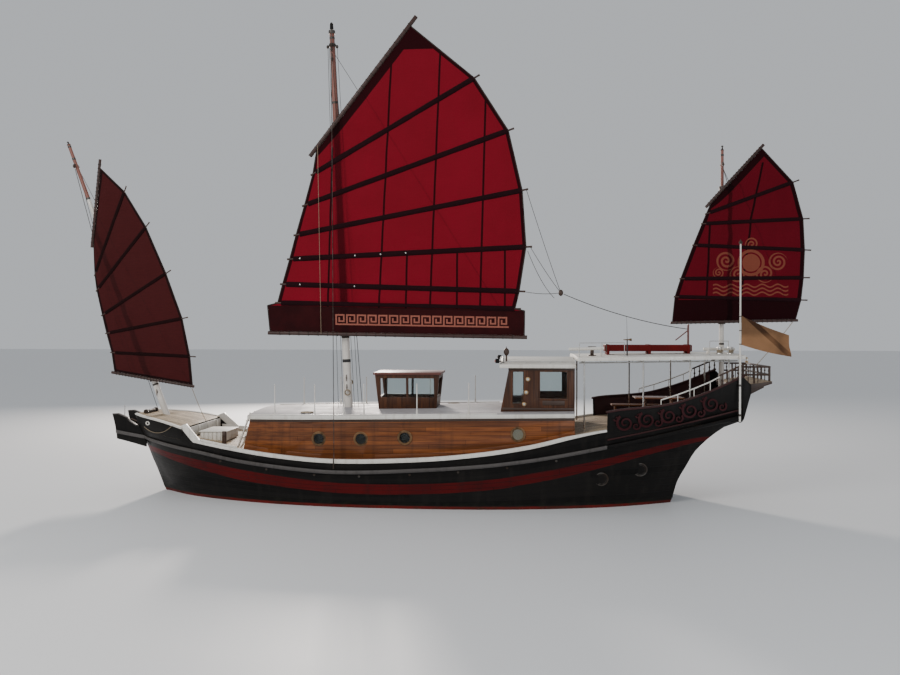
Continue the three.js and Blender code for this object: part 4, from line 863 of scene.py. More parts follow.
def skin(rings, closed=True, ends=True, maps=None):
    """Surface through rings of equally many points; a closed end is drawn to its ring's middle.
    maps holds, for each UV map, the place on it of ring i and point j."""
    rings = [[Vector(point) for point in ring] for ring in rings]
    count = len(rings[0])
    if ends:
        middles = [sum(ring, Vector()) / count for ring in (rings[0], rings[-1])]
        rings = [[middles[0]] * count] + rings + [[middles[1]] * count]
    columns = len(rings) - 1
    around = count if closed else count - 1
    bm = bmesh.new()
    bmesh.ops.create_grid(bm, x_segments=columns, y_segments=around, size=0.5)
    spots = {}
    for vertex in bm.verts:
        spots[vertex] = (round((vertex.co.x + 0.5) * columns), round((vertex.co.y + 0.5) * around))
    for name, spot_of in (maps or {}).items():
        layer = bm.loops.layers.uv.new(name)
        for face in bm.faces:
            for loop in face.loops:
                loop[layer].uv = spot_of(*spots[loop.vert])
    for vertex, (i, j) in spots.items():
        vertex.co = rings[i][j % count]
    bmesh.ops.remove_doubles(bm, verts=bm.verts, dist=1e-5)
    bmesh.ops.recalc_face_normals(bm, faces=bm.faces)
    return bm


def bar(bm, start, end, radius, tip=None, sides=16):
    """Round bar, tapered to tip where it is given."""
    start, end = Vector(start), Vector(end)
    along = end - start
    spot = Matrix.Translation((start + end) / 2) @ along.to_track_quat("Z", "Y").to_matrix().to_4x4()
    bmesh.ops.create_cone(bm, cap_ends=True, segments=sides, radius1=radius,
                          radius2=radius if tip is None else tip, depth=along.length, matrix=spot)


def bars(*rows):
    """Several round bars as one bmesh; a row is what bar takes."""
    bm = bmesh.new()
    for row in rows:
        bar(bm, *row)
    return bm


def upright(x, y, *rows):
    """Round bars that stand on one place; a row is low z, high z, radius, and then tip and sides."""
    return bars(*[((x, y, low), (x, y, high), *how) for low, high, *how in rows])


def block(bm, x, y, z):
    """Box between the two ends given on each axis."""
    spans = (x, y, z)
    middle = Vector([(low + high) / 2 for low, high in spans])
    size = [high - low for low, high in spans]
    bmesh.ops.create_cube(bm, size=1.0, matrix=Matrix.Translation(middle) @ Matrix.Diagonal((*size, 1.0)))


def blocks(*rows, edge=0.0):
    """Several boxes as one bmesh, their edges rounded by edge; a row is what block takes."""
    bm = bmesh.new()
    for row in rows:
        block(bm, *row)
    return soften(bm, edge) if edge else bm


def ball(bm, middle, radius, flat=1.0, sides=16):
    """Ball, flattened along Z by flat."""
    spot = Matrix.Translation(middle) @ Matrix.Diagonal((1.0, 1.0, flat, 1.0))
    bmesh.ops.create_uvsphere(bm, u_segments=sides, v_segments=sides // 2, radius=radius, matrix=spot)


def full_turn(steps):
    """Angles of equal steps once round."""
    return [math.tau * k / steps for k in range(steps)]


def tube(points, radius, sides=8):
    """Round bar along a path."""
    points = [Vector(point) for point in points]
    rings = []
    across = None
    for i, point in enumerate(points):
        ahead = points[min(i + 1, len(points) - 1)] - points[max(i - 1, 0)]
        ahead.normalize()
        across = ahead.orthogonal() if across is None else across - ahead * across.dot(ahead)
        across.normalize()
        third = ahead.cross(across)
        rings.append([point + (across * math.cos(turn) + third * math.sin(turn)) * radius
                      for turn in full_turn(sides)])
    return skin(rings)


def hoop(middle, axis, radius, thick, steps=24, sides=8, squash=1.0):
    """Ring about an axis; squash flattens its section along the axis."""
    axis = Vector(axis).normalized()
    first = axis.orthogonal().normalized()
    second = axis.cross(first)
    rings = []
    for turn in full_turn(steps) + [0.0]:
        out = first * math.cos(turn) + second * math.sin(turn)
        rings.append([
            Vector(middle) + out * (radius + thick * math.cos(lean)) + axis * thick * squash * math.sin(lean)
            for lean in full_turn(sides)
        ])
    return skin(rings, ends=False)


def sagging(start, end, drop, steps=14):
    """Points of a line that hangs between two ends."""
    start, end = Vector(start), Vector(end)
    shares = [i / steps for i in range(steps + 1)]
    return [start.lerp(end, share) - Vector((0, 0, 4 * drop * share * (1 - share))) for share in shares]


def plate(outline, y, thick):
    """Board standing fore and aft: an x and z outline and the y of its outer face."""
    bm = bmesh.new()
    for x, z in outline:
        bm.verts.new((x, y, z))
    bmesh.ops.contextual_create(bm, geom=bm.verts[:])
    grown = bmesh.ops.extrude_face_region(bm, geom=bm.faces[:])
    moved = [item for item in grown["geom"] if isinstance(item, bmesh.types.BMVert)]
    bmesh.ops.translate(bm, verts=moved, vec=(0, thick, 0))
    bmesh.ops.recalc_face_normals(bm, faces=bm.faces)
    return bm


def cap_board(start, end, half_width, half_thick):
    """Flat capping board from one place to another, its width across the ship."""
    along = (end - start).normalized()
    up = Vector((-along.z, 0, along.x)) * half_thick
    across = Vector((0, half_width, 0))
    rings = [[at + up + across, at + up - across, at - up - across, at - up + across] for at in (start, end)]
    return soften(skin(rings), 0.005)


def mirrored(bm):
    """The other side's copy of a shape."""
    bmesh.ops.scale(bm, verts=bm.verts, vec=(1, -1, 1))
    bmesh.ops.reverse_faces(bm, faces=bm.faces)
    return bm


def both_sides(name, make, finish, replaces=""):
    """Starboard piece and its mirror image; replaces is the start of the name of the nodes they stand for."""
    for side, sign in SIDES:
        bm = make() if sign > 0 else mirrored(make())
        piece(f"{name}_{side}", bm, finish, replaces=(f"{replaces}_{side}",) if replaces else ())


def finished(nodes, finish, edge=0.006, top=None):
    """The named nodes' own shapes with their edges rounded."""
    for node in nodes.split():
        bm = bmesh.new()
        bm.from_mesh(frame["nodes"][node].data)
        bmesh.ops.remove_doubles(bm, verts=bm.verts, dist=0.0002)
        bmesh.ops.dissolve_limit(bm, angle_limit=math.radians(0.8), verts=bm.verts, edges=bm.edges)
        soften(bm, edge)
        piece(f"{node}_finished", bm, finish, BODY_OF[node], replaces=(node,), top=top)


# Hull form


def on_curve(table, at, column=1):
    """Smooth value of a column between the rows of a table whose first column is the key."""
    last = len(table) - 1
    row = 0
    while row < last - 1 and at > table[row + 1][0]:
        row += 1
    a, b = table[row], table[row + 1]
    before, after = table[max(row - 1, 0)], table[min(row + 2, last)]
    span = b[0] - a[0]
    t = min(max((at - a[0]) / span, 0.0), 1.0)
    slope_a = (b[column] - before[column]) / (b[0] - before[0]) * span
    slope_b = (after[column] - a[column]) / (after[0] - a[0]) * span
    return (
        (2 * t**3 - 3 * t**2 + 1) * a[column] + (t**3 - 2 * t**2 + t) * slope_a
        + (3 * t**2 - 2 * t**3) * b[column] + (t**3 - t**2) * slope_b
    )


def mix(a, b, share):
    return a + (b - a) * share


def section_at(share):
    share = min(max(share, 0.0), 1.0)
    return [share] + [on_curve(SECTIONS, share, column) for column in (DECK, BEAM, WATER, DEPTH)]


def breadth(section, z):
    """Half breadth of a section at a height."""
    if z < 0:
        up = min(max(1 - z / section[DEPTH], 0.0), 1.0)
        return KEEL_FLAT + max(section[WATER] - KEEL_FLAT, 0.0) * (1 - (1 - up) ** BILGE) ** (1 / BILGE)
    low = max(section[WATER], KEEL_FLAT)
    if z <= section[DECK]:
        return low + (section[BEAM] - low) * (z / section[DECK]) ** FLARE
    return section[BEAM] + TUMBLE * (z - section[DECK])


def share_at(x, z):
    """Share of the planking's length at a place along it and a height."""
    stem = on_curve(STEM, z)
    return (x - stem) / (on_curve(STERN, z) - stem)


def hull_side(x, z):
    return breadth(section_at(share_at(x, z)), z)


def deck_at(x):
    """Height of the deck edge, closed in on step by step."""
    z = 2.0
    for _ in range(4):
        z = section_at(share_at(x, z))[DECK]
    return z


def rub_at(x):
    return on_curve(RUB_LINE, x)


def foredeck_at(x):
    return on_curve(FOREDECK_TOP, x)


def bulwark_at(x):
    return on_curve(BULWARK_TOP, x)


RAIL_FRONT = -8.50
RAIL_GREY_END = 5.86
STRIP_END = 5.84
BREAST_AT = -6.88
BREAST_FRONT = -6.93
STATIONS = 110
BELOW_WATER = 14
ABOVE_WATER = 14
STRAKE_GIRTH = 4.6


def hull_skin():
    """The planked hull with its deck, as one closed skin."""
    rings = []
    for i in range(STATIONS + 1):
        share = i / STATIONS
        section = section_at(share)
        heights = [section[DEPTH] * (1 - k / BELOW_WATER) for k in range(BELOW_WATER)]
        heights += [section[DECK] * k / ABOVE_WATER for k in range(ABOVE_WATER + 1)]
        half = []
        for z in heights:
            x = mix(on_curve(STEM, z), on_curve(STERN, z), share)
            half.append(Vector((x, breadth(section, z), z)))
        keel, deck = (Vector((point.x, 0, point.z)) for point in (half[0], half[-1]))
        rings.append([keel] + half + [deck] + [Vector((p.x, -p.y, p.z)) for p in reversed(half)])
    flat_ends = [[Vector((p.x, 0, p.z)) for p in rings[k]] for k in (0, -1)]
    rings = [flat_ends[0]] + rings + [flat_ends[1]]
    count = len(rings[0])

    def strakes(i, j):
        step = min(j % count, count - j % count)
        return rings[i][j % count].x, (step - 1) / (BELOW_WATER + ABOVE_WATER) * STRAKE_GIRTH

    def trims(i, j):
        spot = rings[i][j % count]
        return on_curve(RED_BAND, spot.x, 2), spot.z - on_curve(RED_BAND, spot.x)

    return skin(rings, ends=False, maps={"strakes": strakes, "trims": trims})


def rail_wall(start, stop, low, high, outer, inner, steps):
    """Upright strip along the starboard side. low and high are its edges at a place x, outer and inner its
    faces at a place x and a height z."""
    rings = []
    for i in range(steps + 1):
        x = mix(start, stop, i / steps)
        foot, head = low(x), high(x)
        rings.append([(x, outer(x, foot), foot), (x, outer(x, head), head), (x, inner(x, head), head),
                      (x, inner(x, foot), foot)])
    return skin(rings)


def long_board(name, finish, span, edges, faces, steps, edge=0.004, segments=2, replaces=""):
    """Long board along both sides of the ship: its two ends, its low and high edges, its outer and inner
    faces, and how far and how finely its edges are rounded."""

    def make():
        return soften(rail_wall(*span, *edges, *faces, steps), edge, segments)

    both_sides(name, make, finish, replaces)


def above(line, *offsets):
    """Lines along the ship, each a given height above a line."""
    return [lambda x, offset=offset: line(x) + offset for offset in offsets]


def beside(*offsets, face=hull_side):
    """Faces, each a given distance outside the planking or another face."""
    return [lambda x, z, offset=offset: face(x, z) + offset for offset in offsets]


def deck_side(x, z):
    return hull_side(x, deck_at(x))


# Hull, rails and strips


def build_hull():
    """Planked hull with keel, rudder and propeller, rub rails, sheer strips and scuppers."""
    piece("planked_hull", hull_skin(), "hull", replaces=("hull",), top="deck", sharp=50)
    finished("keel", "antifouling", 0.012)
    finished("rudder", "antifouling", 0.010)
    finished("propeller", "bronze", 0.003)

    rub_edges, rub_faces = above(rub_at, -0.055, 0.055), beside(0.065, -0.02)
    long_board("rub_rail_timber", "grey", (RAIL_FRONT, RAIL_GREY_END), rub_edges, rub_faces, 90, 0.024, 3,
               "rub_rail")
    long_board("rub_rail_aft", "black", (RAIL_GREY_END, 9.70), rub_edges, rub_faces, 24, 0.024, 3)
    long_board("rub_rail_iron", "grey", (RAIL_FRONT + 0.02, STRIP_END), above(rub_at, -0.018, 0.018),
               beside(0.073, 0.05), 90, 0.006)

    def breast(x):
        return 2.20 - (x - BREAST_FRONT)

    def strip_low(x):
        return max(deck_at(x) - 0.002, breast(x))

    def strip_high(x):
        face = on_curve(STRIP_FACE, x)
        return max(deck_at(x) + face, min(2.25 + 0.5 * (x - BREAST_FRONT), breast(x) + 0.30))

    def wedge_high(x):
        return max(breast(x) + 0.01, deck_at(x))

    long_board("sheer_strip_board", "white", (BREAST_FRONT, STRIP_END), (strip_low, strip_high),
               beside(0.03, -0.09, face=deck_side), 144, 0.010, replaces="sheer_strip")
    long_board("breast_wedge", "black", (BREAST_FRONT + 0.03, -6.47), (*above(deck_at, -0.02), wedge_high),
               beside(0.022, -0.08, face=deck_side), 16)

    def scuppers():
        parts = []
        for x in (-5.6, -4.1, -2.62, -1.28, 0.2, 1.6, 3.0, 4.4):
            z = rub_at(x) - 0.12
            y = hull_side(x, z)
            parts.append(hoop((x, y + 0.004, z), (0, 1, 0), 0.028, 0.008, 16, 6))
            parts.append(bars(((x, y - 0.02, z), (x, y + 0.008, z), 0.025, 0.025, 14)))
        return gather(parts)

    both_sides("scupper_pipes", scuppers, "iron")


def build_hull_portholes():
    """Iron rims and black deadlights of the two aft ports in the topsides."""
    out = Vector((0.0, 1.0, -0.25)).normalized()
    middles = [Vector((x, hull_side(x, z) + 0.006, z)) for x, z in HULL_PORTHOLES]

    def rims():
        parts = []
        for middle in middles:
            parts += [hoop(middle, out, 0.19, 0.022, 36), hoop(middle, out, 0.145, 0.012, 36)]
            studs = bmesh.new()
            for turn in full_turn(8):
                spot = middle + Vector((math.cos(turn) * 0.19, 0.022, math.sin(turn) * 0.19))
                ball(studs, spot, 0.011, sides=8)
            parts.append(studs)
        return gather(parts)

    def deadlights():
        return bars(*[(middle - out * 0.012, middle + out * 0.010, 0.176, 0.176, 36) for middle in middles])

    both_sides("hull_port_rims", rims, "iron")
    both_sides("hull_port_deadlights", deadlights, "black")


def build_chainplates():
    """Iron straps and bolts that hold the shrouds at the rail."""
    finished("main_shrouds", "iron", 0.001)
    x, z = -2.02, 1.44
    y = hull_side(x, deck_at(x)) + 0.03

    def strap():
        bm = blocks(((x - 0.018, x + 0.018), (y - 0.005, y + 0.010), (z - 0.28, z + 0.02)))
        for height in (z - 0.24, z - 0.14, z - 0.06):
            bar(bm, (x, y, height), (x, y + 0.020, height), 0.009, sides=10)
        return soften(bm, 0.003)

    both_sides("chainplate", strap, "iron")


# Bow


def wing_outer(x, z):
    """Outer face of a bow wing at a place along it and a height."""
    front = WING_EDGES[0][2]
    return mix(0.50, 0.62, (x - front) / (RAIL_FRONT - front)) + 0.08 * (z - 1.50)


def wing_boards():
    """Boards of a bow wing, bowed a little at its front edge."""
    rings = []
    for foot_x, foot_z, head_x, head_z in WING_EDGES:
        ring = []
        for share in (0.0, 0.25, 0.5, 0.75, 1.0):
            bow = 0.02 * math.sin(math.pi * share) if foot_x < -9.45 else 0.0
            x, z = mix(foot_x, head_x, share) + bow, mix(foot_z, head_z, share)
            ring.append(Vector((x, wing_outer(x, z), z)))
        rings.append(ring + [point - Vector((0, 0.075, 0)) for point in reversed(ring)])
    return soften(skin(rings), 0.010, angle=40)


def wing_cap():
    heads = [Vector((x, wing_outer(x, z + 0.012) - 0.037, z + 0.012)) for _, _, x, z in WING_EDGES[:5]]
    return gather([cap_board(start, end, 0.052, 0.014) for start, end in zip(heads, heads[1:])])


def hawse_ring():
    middle = Vector((-8.19, hull_side(-8.19, 2.27) + 0.016, 2.27))
    ring = hoop(middle, (-0.35, 1.0, 0.0), 0.062, 0.019, 32)
    bmesh.ops.scale(ring, verts=ring.verts, vec=(1.0, 1.0, 0.8), space=Matrix.Translation(-middle))
    return ring


def build_bow():
    """Foredeck and its covering boards, bow wings, the platform between them, and the deck's gear."""
    finished("foredeck", "black", 0.008, top="deck")
    finished("bow_platform", "dark_wood")
    long_board("covering_board", "white", (-8.79, BREAST_AT + 0.01), above(foredeck_at, -0.028, 0.020),
               beside(0.022, -0.16), 30, 0.008)
    both_sides("bow_wing_boards", wing_boards, "black", "bow_wing")
    both_sides("bow_wing_cap", wing_cap, "grey")
    ends = [(-8.99, wing_outer(-8.99, 2.36) - 0.04, 2.345), (-8.80, wing_outer(-8.8, 2.3) - 0.04, 2.275)]
    both_sides("bow_wing_strut", lambda: bars((*ends, 0.018, 0.018, 10)), "dark_wood")
    line = [(-9.52, 1.925), (-9.00, 1.845), (-8.50, 1.768)]
    edges = above(lambda x: on_curve(line, x), -0.055, 0.055)
    long_board("bow_wing_rail", "grey", (-9.515, RAIL_FRONT), edges, beside(0.05, -0.02, face=wing_outer), 12,
               0.02, 3)
    both_sides("hawse_ring", hawse_ring, "white")

    hung = sagging((-8.39, 0, 2.14), (-7.23, 0, 2.235), 0.20, 18)
    piece("bow_grab_line", tube([(x, -hull_side(x, z) - 0.024, z) for x, _, z in hung], 0.008), "rope")
    post = upright(-9.27, -0.46, (2.05, 2.73, 0.014, 0.011, 12), (2.05, 2.12, 0.03, 0.022, 12))
    ball(post, (-9.27, -0.46, 2.74), 0.022, sides=10)
    piece("bow_stanchion", post, "steel")
    x, z = -8.60, 2.55
    windlass = bars(((x, -0.36, z), (x, 0.36, z), 0.050, 0.050, 24))
    for y in (-0.36, 0.36):
        bar(windlass, (x, y - 0.05, z), (x, y + 0.05, z), 0.072, sides=24)
        block(windlass, (x - 0.06, x + 0.06), (y - 0.03, y + 0.03), (2.42, 2.59))
    piece("anchor_windlass", soften(windlass, 0.006), "iron")
    finished("bollard_port bollard_starboard", "dark_wood", 0.008)


def build_well():
    """White ceiling boards and bulkhead of the bow well, and the slatted locker in it."""
    long_board("well_ceiling", "white", (-6.80, -5.05), above(deck_at, 0.002, 0.132),
               beside(-0.092, -0.112, face=deck_side), 12)
    boards = [((-6.88, -6.84), (-1.55, 1.55), (1.84, 2.15))]
    boards += [((-6.84, -6.80), (y - 0.04, y + 0.04), (1.84, 2.15)) for y in (-1.2, -0.4, 0.4, 1.2)]
    piece("well_bulkhead", blocks(*boards, edge=0.005), "white")
    boards = [((-6.62, -5.80), (-0.88, 0.30), (1.70, 1.975)), ((-6.66, -5.76), (-0.92, 0.34), (1.975, 2.005))]
    for k in range(6):
        x = -6.55 + 0.136 * k
        boards.append(((x - 0.045, x + 0.045), (-0.905, -0.875), (1.72, 1.96)))
    piece("well_locker", blocks(*boards, edge=0.005), "white")


# Stern

SCROLL_PITCH = 0.62


def scroll(middle, size, turns, lift, width, hand, start):
    """Flat spiral of a cloud scroll, carved in relief on the planking; hand is 1 or -1."""
    steps = int(26 * turns)
    rings = []
    for i in range(steps + 1):
        share = i / steps
        turn = start + hand * share * turns * math.tau
        radius, thick = size * (1 - 0.82 * share), width * (1 - 0.55 * share)
        ring = []
        for side, out in ((-1, 0.0), (1, 0.0), (1, lift), (-1, lift)):
            reach = radius + side * thick
            x, z = middle[0] + math.cos(turn) * reach, middle[1] + math.sin(turn) * reach
            ring.append((x, hull_side(x, z) - 0.004 + out, z))
        rings.append(ring)
    return skin(rings)


def carving():
    """Row of cloud scrolls, each with two smaller ones, as high as the bulwark leaves room for."""
    parts = []
    for k in range(5):
        x = 6.35 + k * SCROLL_PITCH
        room = bulwark_at(x) - rub_at(x) - 0.28
        z = rub_at(x) + 0.27 + room * 0.48
        size = min(room * 0.40, 0.25)
        parts += [
            scroll((x, z), size, 1.5, 0.022, 0.036, 1, 2.2),
            scroll((x + size * 1.28, z - size * 0.35), size * 0.52, 1.2, 0.020, 0.028, -1, 0.9),
            scroll((x - size, z + size * 0.55), size * 0.34, 1.0, 0.018, 0.021, 1, 3.4),
        ]
    return gather(parts)


def on_cap(x, z):
    """Place over the middle of the bulwark's cap at a height."""
    return x, hull_side(x, bulwark_at(x)) - 0.04, z


def balusters():
    """Turned balusters of the quarter and the rail on them."""
    bm = bmesh.new()
    for k in range(5):
        x = 9.14 + 0.155 * k
        base = bulwark_at(x) + 0.04
        y = hull_side(x, base) - 0.04
        bar(bm, (x, y, base), (x, y, base + 0.30), 0.021, 0.017, 12)
        bar(bm, (x, y, base), (x, y, base + 0.03), 0.034, sides=12)
        ball(bm, (x, y, base + 0.13), 0.036, 1.2, 12)
    return gather([bm, tube([on_cap(x, bulwark_at(x) + 0.35) for x in (9.06, 9.3, 9.55, 9.80)], 0.026, 10)])


def quarter_rail():
    line = [(7.37, 3.19), (7.85, 3.34), (8.32, 3.51), (8.79, 3.70), (9.06, 3.84)]
    posts = bars(*[(on_cap(x, bulwark_at(x)), on_cap(x, z), 0.012, 0.012, 10) for x, z in line[:4]])
    return gather([posts, tube([on_cap(x, z) for x, z in line], 0.020, 10)])


def build_stern():
    """Bulwarks with cap rails and carved scrolls, stern board, gallery with its rail, and its lamp."""
    long_board("bulwark_planking", "black", (5.845, 9.78), (*above(deck_at, -0.02), bulwark_at),
               beside(0.0, -0.08), 48, 0.008, replaces="bulwark")
    long_board("bulwark_lining", "maroon", (5.90, 9.60), (*above(deck_at, 0.01), *above(bulwark_at, -0.02)),
               beside(-0.08, -0.094), 40)
    long_board("bulwark_cap", "maroon", (5.80, 9.80), above(bulwark_at, -0.012, 0.045), beside(0.035, -0.115),
               48, 0.014, 3)
    long_board("bulwark_moulding", "maroon", (5.86, 9.74), above(rub_at, 0.19, 0.235), beside(0.022, -0.01),
               48, 0.008)
    both_sides("bulwark_scrolls", carving, "ornament_red")

    finished("stern_board", "black", 0.010)
    corner = [(9.76, 2.56), (9.80, 2.62), (10.00, 3.38), (10.00, 3.60), (9.76, 3.84)]
    both_sides("quarter_board", lambda: soften(plate(corner, 1.625, 0.13), 0.006), "black")
    finished("stern_gallery", "dark_wood", 0.010, top="deck")
    finished("stern_gallery_rail", "dark_wood")
    spindles = bmesh.new()
    spots = [(10.64, y / 10) for y in range(-12, 13, 4)]
    spots += [(x, y) for x in (10.03, 10.31) for y in (-1.29, 1.29)]
    for x, y in spots:
        bar(spindles, (x, y, 3.60), (x, y, 4.09), 0.014, sides=10)
        ball(spindles, (x, y, 3.98), 0.026, 1.3, 10)
    piece("gallery_spindles", spindles, "dark_wood")
    both_sides("quarter_balusters", balusters, "dark_wood")
    both_sides("quarter_rail", quarter_rail, "white")
    knee = [(9.95, 3.24), (10.02, 3.24), (10.50, 3.49), (10.50, 3.56), (9.95, 3.40)]
    knees = gather([plate(knee, y - 0.03, 0.06) for y in (-1.2, -0.6, 0.0, 0.6, 1.2)])
    piece("gallery_knees", soften(knees, 0.006), "dark_wood")
    lamp = upright(10.66, 1.29, (4.11, 4.17, 0.04, 0.05), (4.25, 4.29, 0.055, 0.02))
    piece("stern_lamp_frame", lamp, "brass")
    piece("stern_lamp_lens", upright(10.66, 1.29, (4.17, 4.25, 0.042)), "lens_clear")


# Deckhouse form


def cabin_half(x, _=None):
    """Half breadth of the trunk cabin at a place along it, the same at every height."""
    for a, b in zip(CABIN_PLAN, CABIN_PLAN[1:]):
        if x <= b[0]:
            return mix(a[1], b[1], (x - a[0]) / (b[0] - a[0]))
    return CABIN_PLAN[-1][1]


def cabin_top_at(x):
    return mix(CABIN["top_front"], CABIN["top_aft"], (x - CABIN["front"]) / (CABIN["aft"] - CABIN["front"]))


def canopy_low_at(x):
    return mix(CANOPY["low_from"], CANOPY["low_to"], (x - CANOPY["from"]) / (CANOPY["to"] - CANOPY["from"]))


def frame_strip(x0, x1, z0, z1, y):
    """Frame of strips on a wall's outer face y, round an opening."""
    wide, depth = 0.045, (y - 0.002, y + 0.018)
    span = (x0 - wide, x1 + wide)
    return blocks((span, depth, (z0 - wide, z0)), (span, depth, (z1, z1 + wide)),
                  ((x0 - wide, x0), depth, (z0, z1)), ((x1, x1 + wide), depth, (z0, z1)), edge=0.004)


# Trunk cabin


def porthole_rims():
    """Bronze rings and studs of the cabin's portholes."""
    parts, studs = [], bmesh.new()
    for x, z in PORTHOLES:
        y = cabin_half(x)
        parts.append(hoop((x, y + 0.008, z), (0, 1, 0), 0.198, 0.024, 40, 8, 0.7))
        parts.append(hoop((x, y + 0.014, z), (0, 1, 0), 0.165, 0.010, 40, 8, 0.8))
        for k in range(10):
            turn = math.tau * (k + 0.5) / 10
            ball(studs, (x + math.cos(turn) * 0.2, y + 0.026, z + math.sin(turn) * 0.2), 0.010, sides=8)
    return gather(parts + [studs])


def shade_boards_and_curtains(spots):
    """Board behind each of the cabin's portholes named; a black one is painted shade for the dark
    inside of the cabin, a pale one is a curtain.
    """
    rows = []
    for x, z in spots:
        y = cabin_half(x) - 0.075
        rows.append(((x - 0.24, x + 0.24), (y - 0.008, y), (z - 0.24, z + 0.24)))
    return blocks(*rows)


def build_cabin():
    """Planked cabin with bronze portholes, its pale top with a toe rail, stanchions and ladder."""
    finished("cabin_side_port cabin_side_starboard", "varnish", 0.004)
    finished("cabin_front cabin_aft", "varnish")
    # The cabin top's upward faces take a darker violet-grey paint that is partly painted shade
    finished("cabin_top", "white", 0.012, top="cabin_deck_shaded")
    finished("ladder", "white")

    front, aft, slab, eave = (CABIN[key] for key in ("front", "aft", "slab", "eave"))
    long_board("cabin_footing", "varnish", (-4.93, aft + 0.012), above(deck_at, -0.02, 0.15),
               beside(0.012, -0.03, face=cabin_half), 80)
    foot = deck_at(aft)
    step = blocks(((aft - 0.02, aft + 0.012), (-1.95, 1.95), (foot - 0.02, foot + 0.11)), edge=0.004)
    piece("cabin_aft_footing", step, "varnish")
    both_sides("cabin_port_rims", porthole_rims, "bronze")

    def panes():
        faces = [((x, cabin_half(x) - 0.017, z), (x, cabin_half(x) - 0.007, z)) for x, z in PORTHOLES]
        return bars(*[(*ends, 0.188, 0.188, 40) for ends in faces])

    both_sides("cabin_port_panes", panes, "glass")
    # Black boards behind the first three portholes are painted shade for the dark inside of the cabin
    both_sides("cabin_port_shade_boards", lambda: shade_boards_and_curtains(PORTHOLES[:-1]), "rubber")
    both_sides("cabin_port_curtain", lambda: shade_boards_and_curtains(PORTHOLES[-1:]), "curtain")
    long_board("cabin_frieze", "dark_wood", (front + 0.02, aft), (*above(cabin_top_at, -0.075), cabin_top_at),
               beside(0.03, -0.01, face=cabin_half), 40, 0.006)
    long_board("cabin_toe_rail", "white", (front - 0.02, 2.7), above(cabin_top_at, slab - 0.01, slab + 0.03),
               beside(eave - 0.02, eave - 0.065, face=cabin_half), 40, 0.008)

    posts = (-3.98, -2.73, -1.85, -1.24, 0.34, 1.87)
    feet = [Vector((x, cabin_half(x) + eave - 0.06, cabin_top_at(x) + slab)) for x in posts]

    def stanchions():
        bm = bmesh.new()
        for foot in feet:
            bar(bm, foot, foot + Vector((0, 0, 0.90)), 0.017, 0.014, 12)
            bar(bm, foot + Vector((0, 0, 0.44)), foot + Vector((0, 0, 0.465)), 0.019, sides=12)
            ball(bm, foot + Vector((0, 0, 0.905)), 0.021, sides=12)
        return bm

    def sockets():
        bm = bmesh.new()
        for foot in feet:
            bar(bm, foot - Vector((0, 0, 0.01)), foot + Vector((0, 0, 0.025)), 0.055, 0.045)
            bar(bm, foot, foot + Vector((0, 0, 0.15)), 0.030, 0.024)
        return bm

    both_sides("cabin_stanchions", stanchions, "white", "cabin_rail")
    both_sides("stanchion_sockets", sockets, "white")


def build_deck_box():
    """Framed deck box with its panes, red-brown rim and beads."""
    finished("deck_box", "dark_varnish", 0.005)
    finished("deck_box_top", "red_brown", 0.010)
    panes = [((-0.92, 0.70), y, (3.05, 3.70)) for y in ((-0.565, -0.560), (0.560, 0.565))]
    piece("deck_box_panes", blocks(*panes), "glass")
    beads = [((-1.10, 0.88), y, (3.80, 3.845)) for y in ((-0.74, -0.715), (0.715, 0.74))]
    piece("deck_box_beads", blocks(*beads, edge=0.006), "dark_wood")


# Wheelhouse

HOUSE_HALF = 1.50
HOUSE_WINDOWS = ((3.96, 4.75, 3.15, 3.94), (3.15, 3.48, 3.00, 3.94))
PANE_LAP = 0.02


def build_house():
    """Varnished wheelhouse with its white cambered roof, window frames, glass and helm."""
    finished("wheelhouse_side_port wheelhouse_side_starboard wheelhouse_front wheelhouse_aft wheelhouse_door",
             "dark_varnish", 0.005)
    finished("wheelhouse_roof", "white", 0.014)
    finished("helm", "bright_deckwork", 0.004)

    def frames():
        return gather([frame_strip(*window, HOUSE_HALF) for window in HOUSE_WINDOWS])

    def side_panes():
        span, lap = (HOUSE_HALF - 0.034, HOUSE_HALF - 0.026), PANE_LAP
        return blocks(*[((x0 - lap, x1 + lap), span, (z0 - lap, z1 + lap))
                        for x0, x1, z0, z1 in HOUSE_WINDOWS])

    def mouldings():
        span = (HOUSE_HALF, HOUSE_HALF + 0.022)
        return blocks(((2.84, 4.98), span, (2.80, 2.87)), ((3.02, 4.98), span, (3.985, 4.04)), edge=0.005)

    both_sides("house_window_frames", frames, "dark_varnish")
    both_sides("house_side_panes", side_panes, "glass")
    both_sides("house_mouldings", mouldings, "dark_wood")

    panes = bmesh.new()
    low, high = Vector((2.93, 0, 3.04)), Vector((3.045, 0, 3.95))
    lean = Matrix.Rotation(math.atan2(high.x - low.x, high.z - low.z), 4, "Y")
    for y in (-0.93, 0.0, 0.93):
        spot = Matrix.Translation((low + high) / 2 + Vector((0, y, 0))) @ lean
        bmesh.ops.create_cube(panes, size=1.0, matrix=spot @ Matrix.Diagonal((0.008, 0.88, 0.92, 1.0)))
    piece("house_front_panes", panes, "glass")
    door_pane = blocks(((4.946, 4.954), (-0.21, 0.21), (3.17, 3.77)))
    piece("door_pane", door_pane, "glass", "wheelhouse_door")
    knob = bmesh.new()
    for x in (4.90, 5.0):
        bar(knob, (4.95, -0.26, 3.02), (x, -0.26, 3.02), 0.010, sides=10)
        ball(knob, (x, -0.26, 3.02), 0.028, sides=14)
    piece("door_knob", knob, "brass", "wheelhouse_door")
    board = blocks(((4.03, 4.68), (-HOUSE_HALF - 0.024, -HOUSE_HALF - 0.004), (2.955, 3.085)), edge=0.006)
    piece("name_board_blank", board, "dark_wood")
    dials = bars(*[((3.705, y, 3.06), (3.70, y, 3.09), 0.055, 0.055, 20) for y in (-0.22, 0.0, 0.22)])
    piece("helm_dials", dials, "brass")


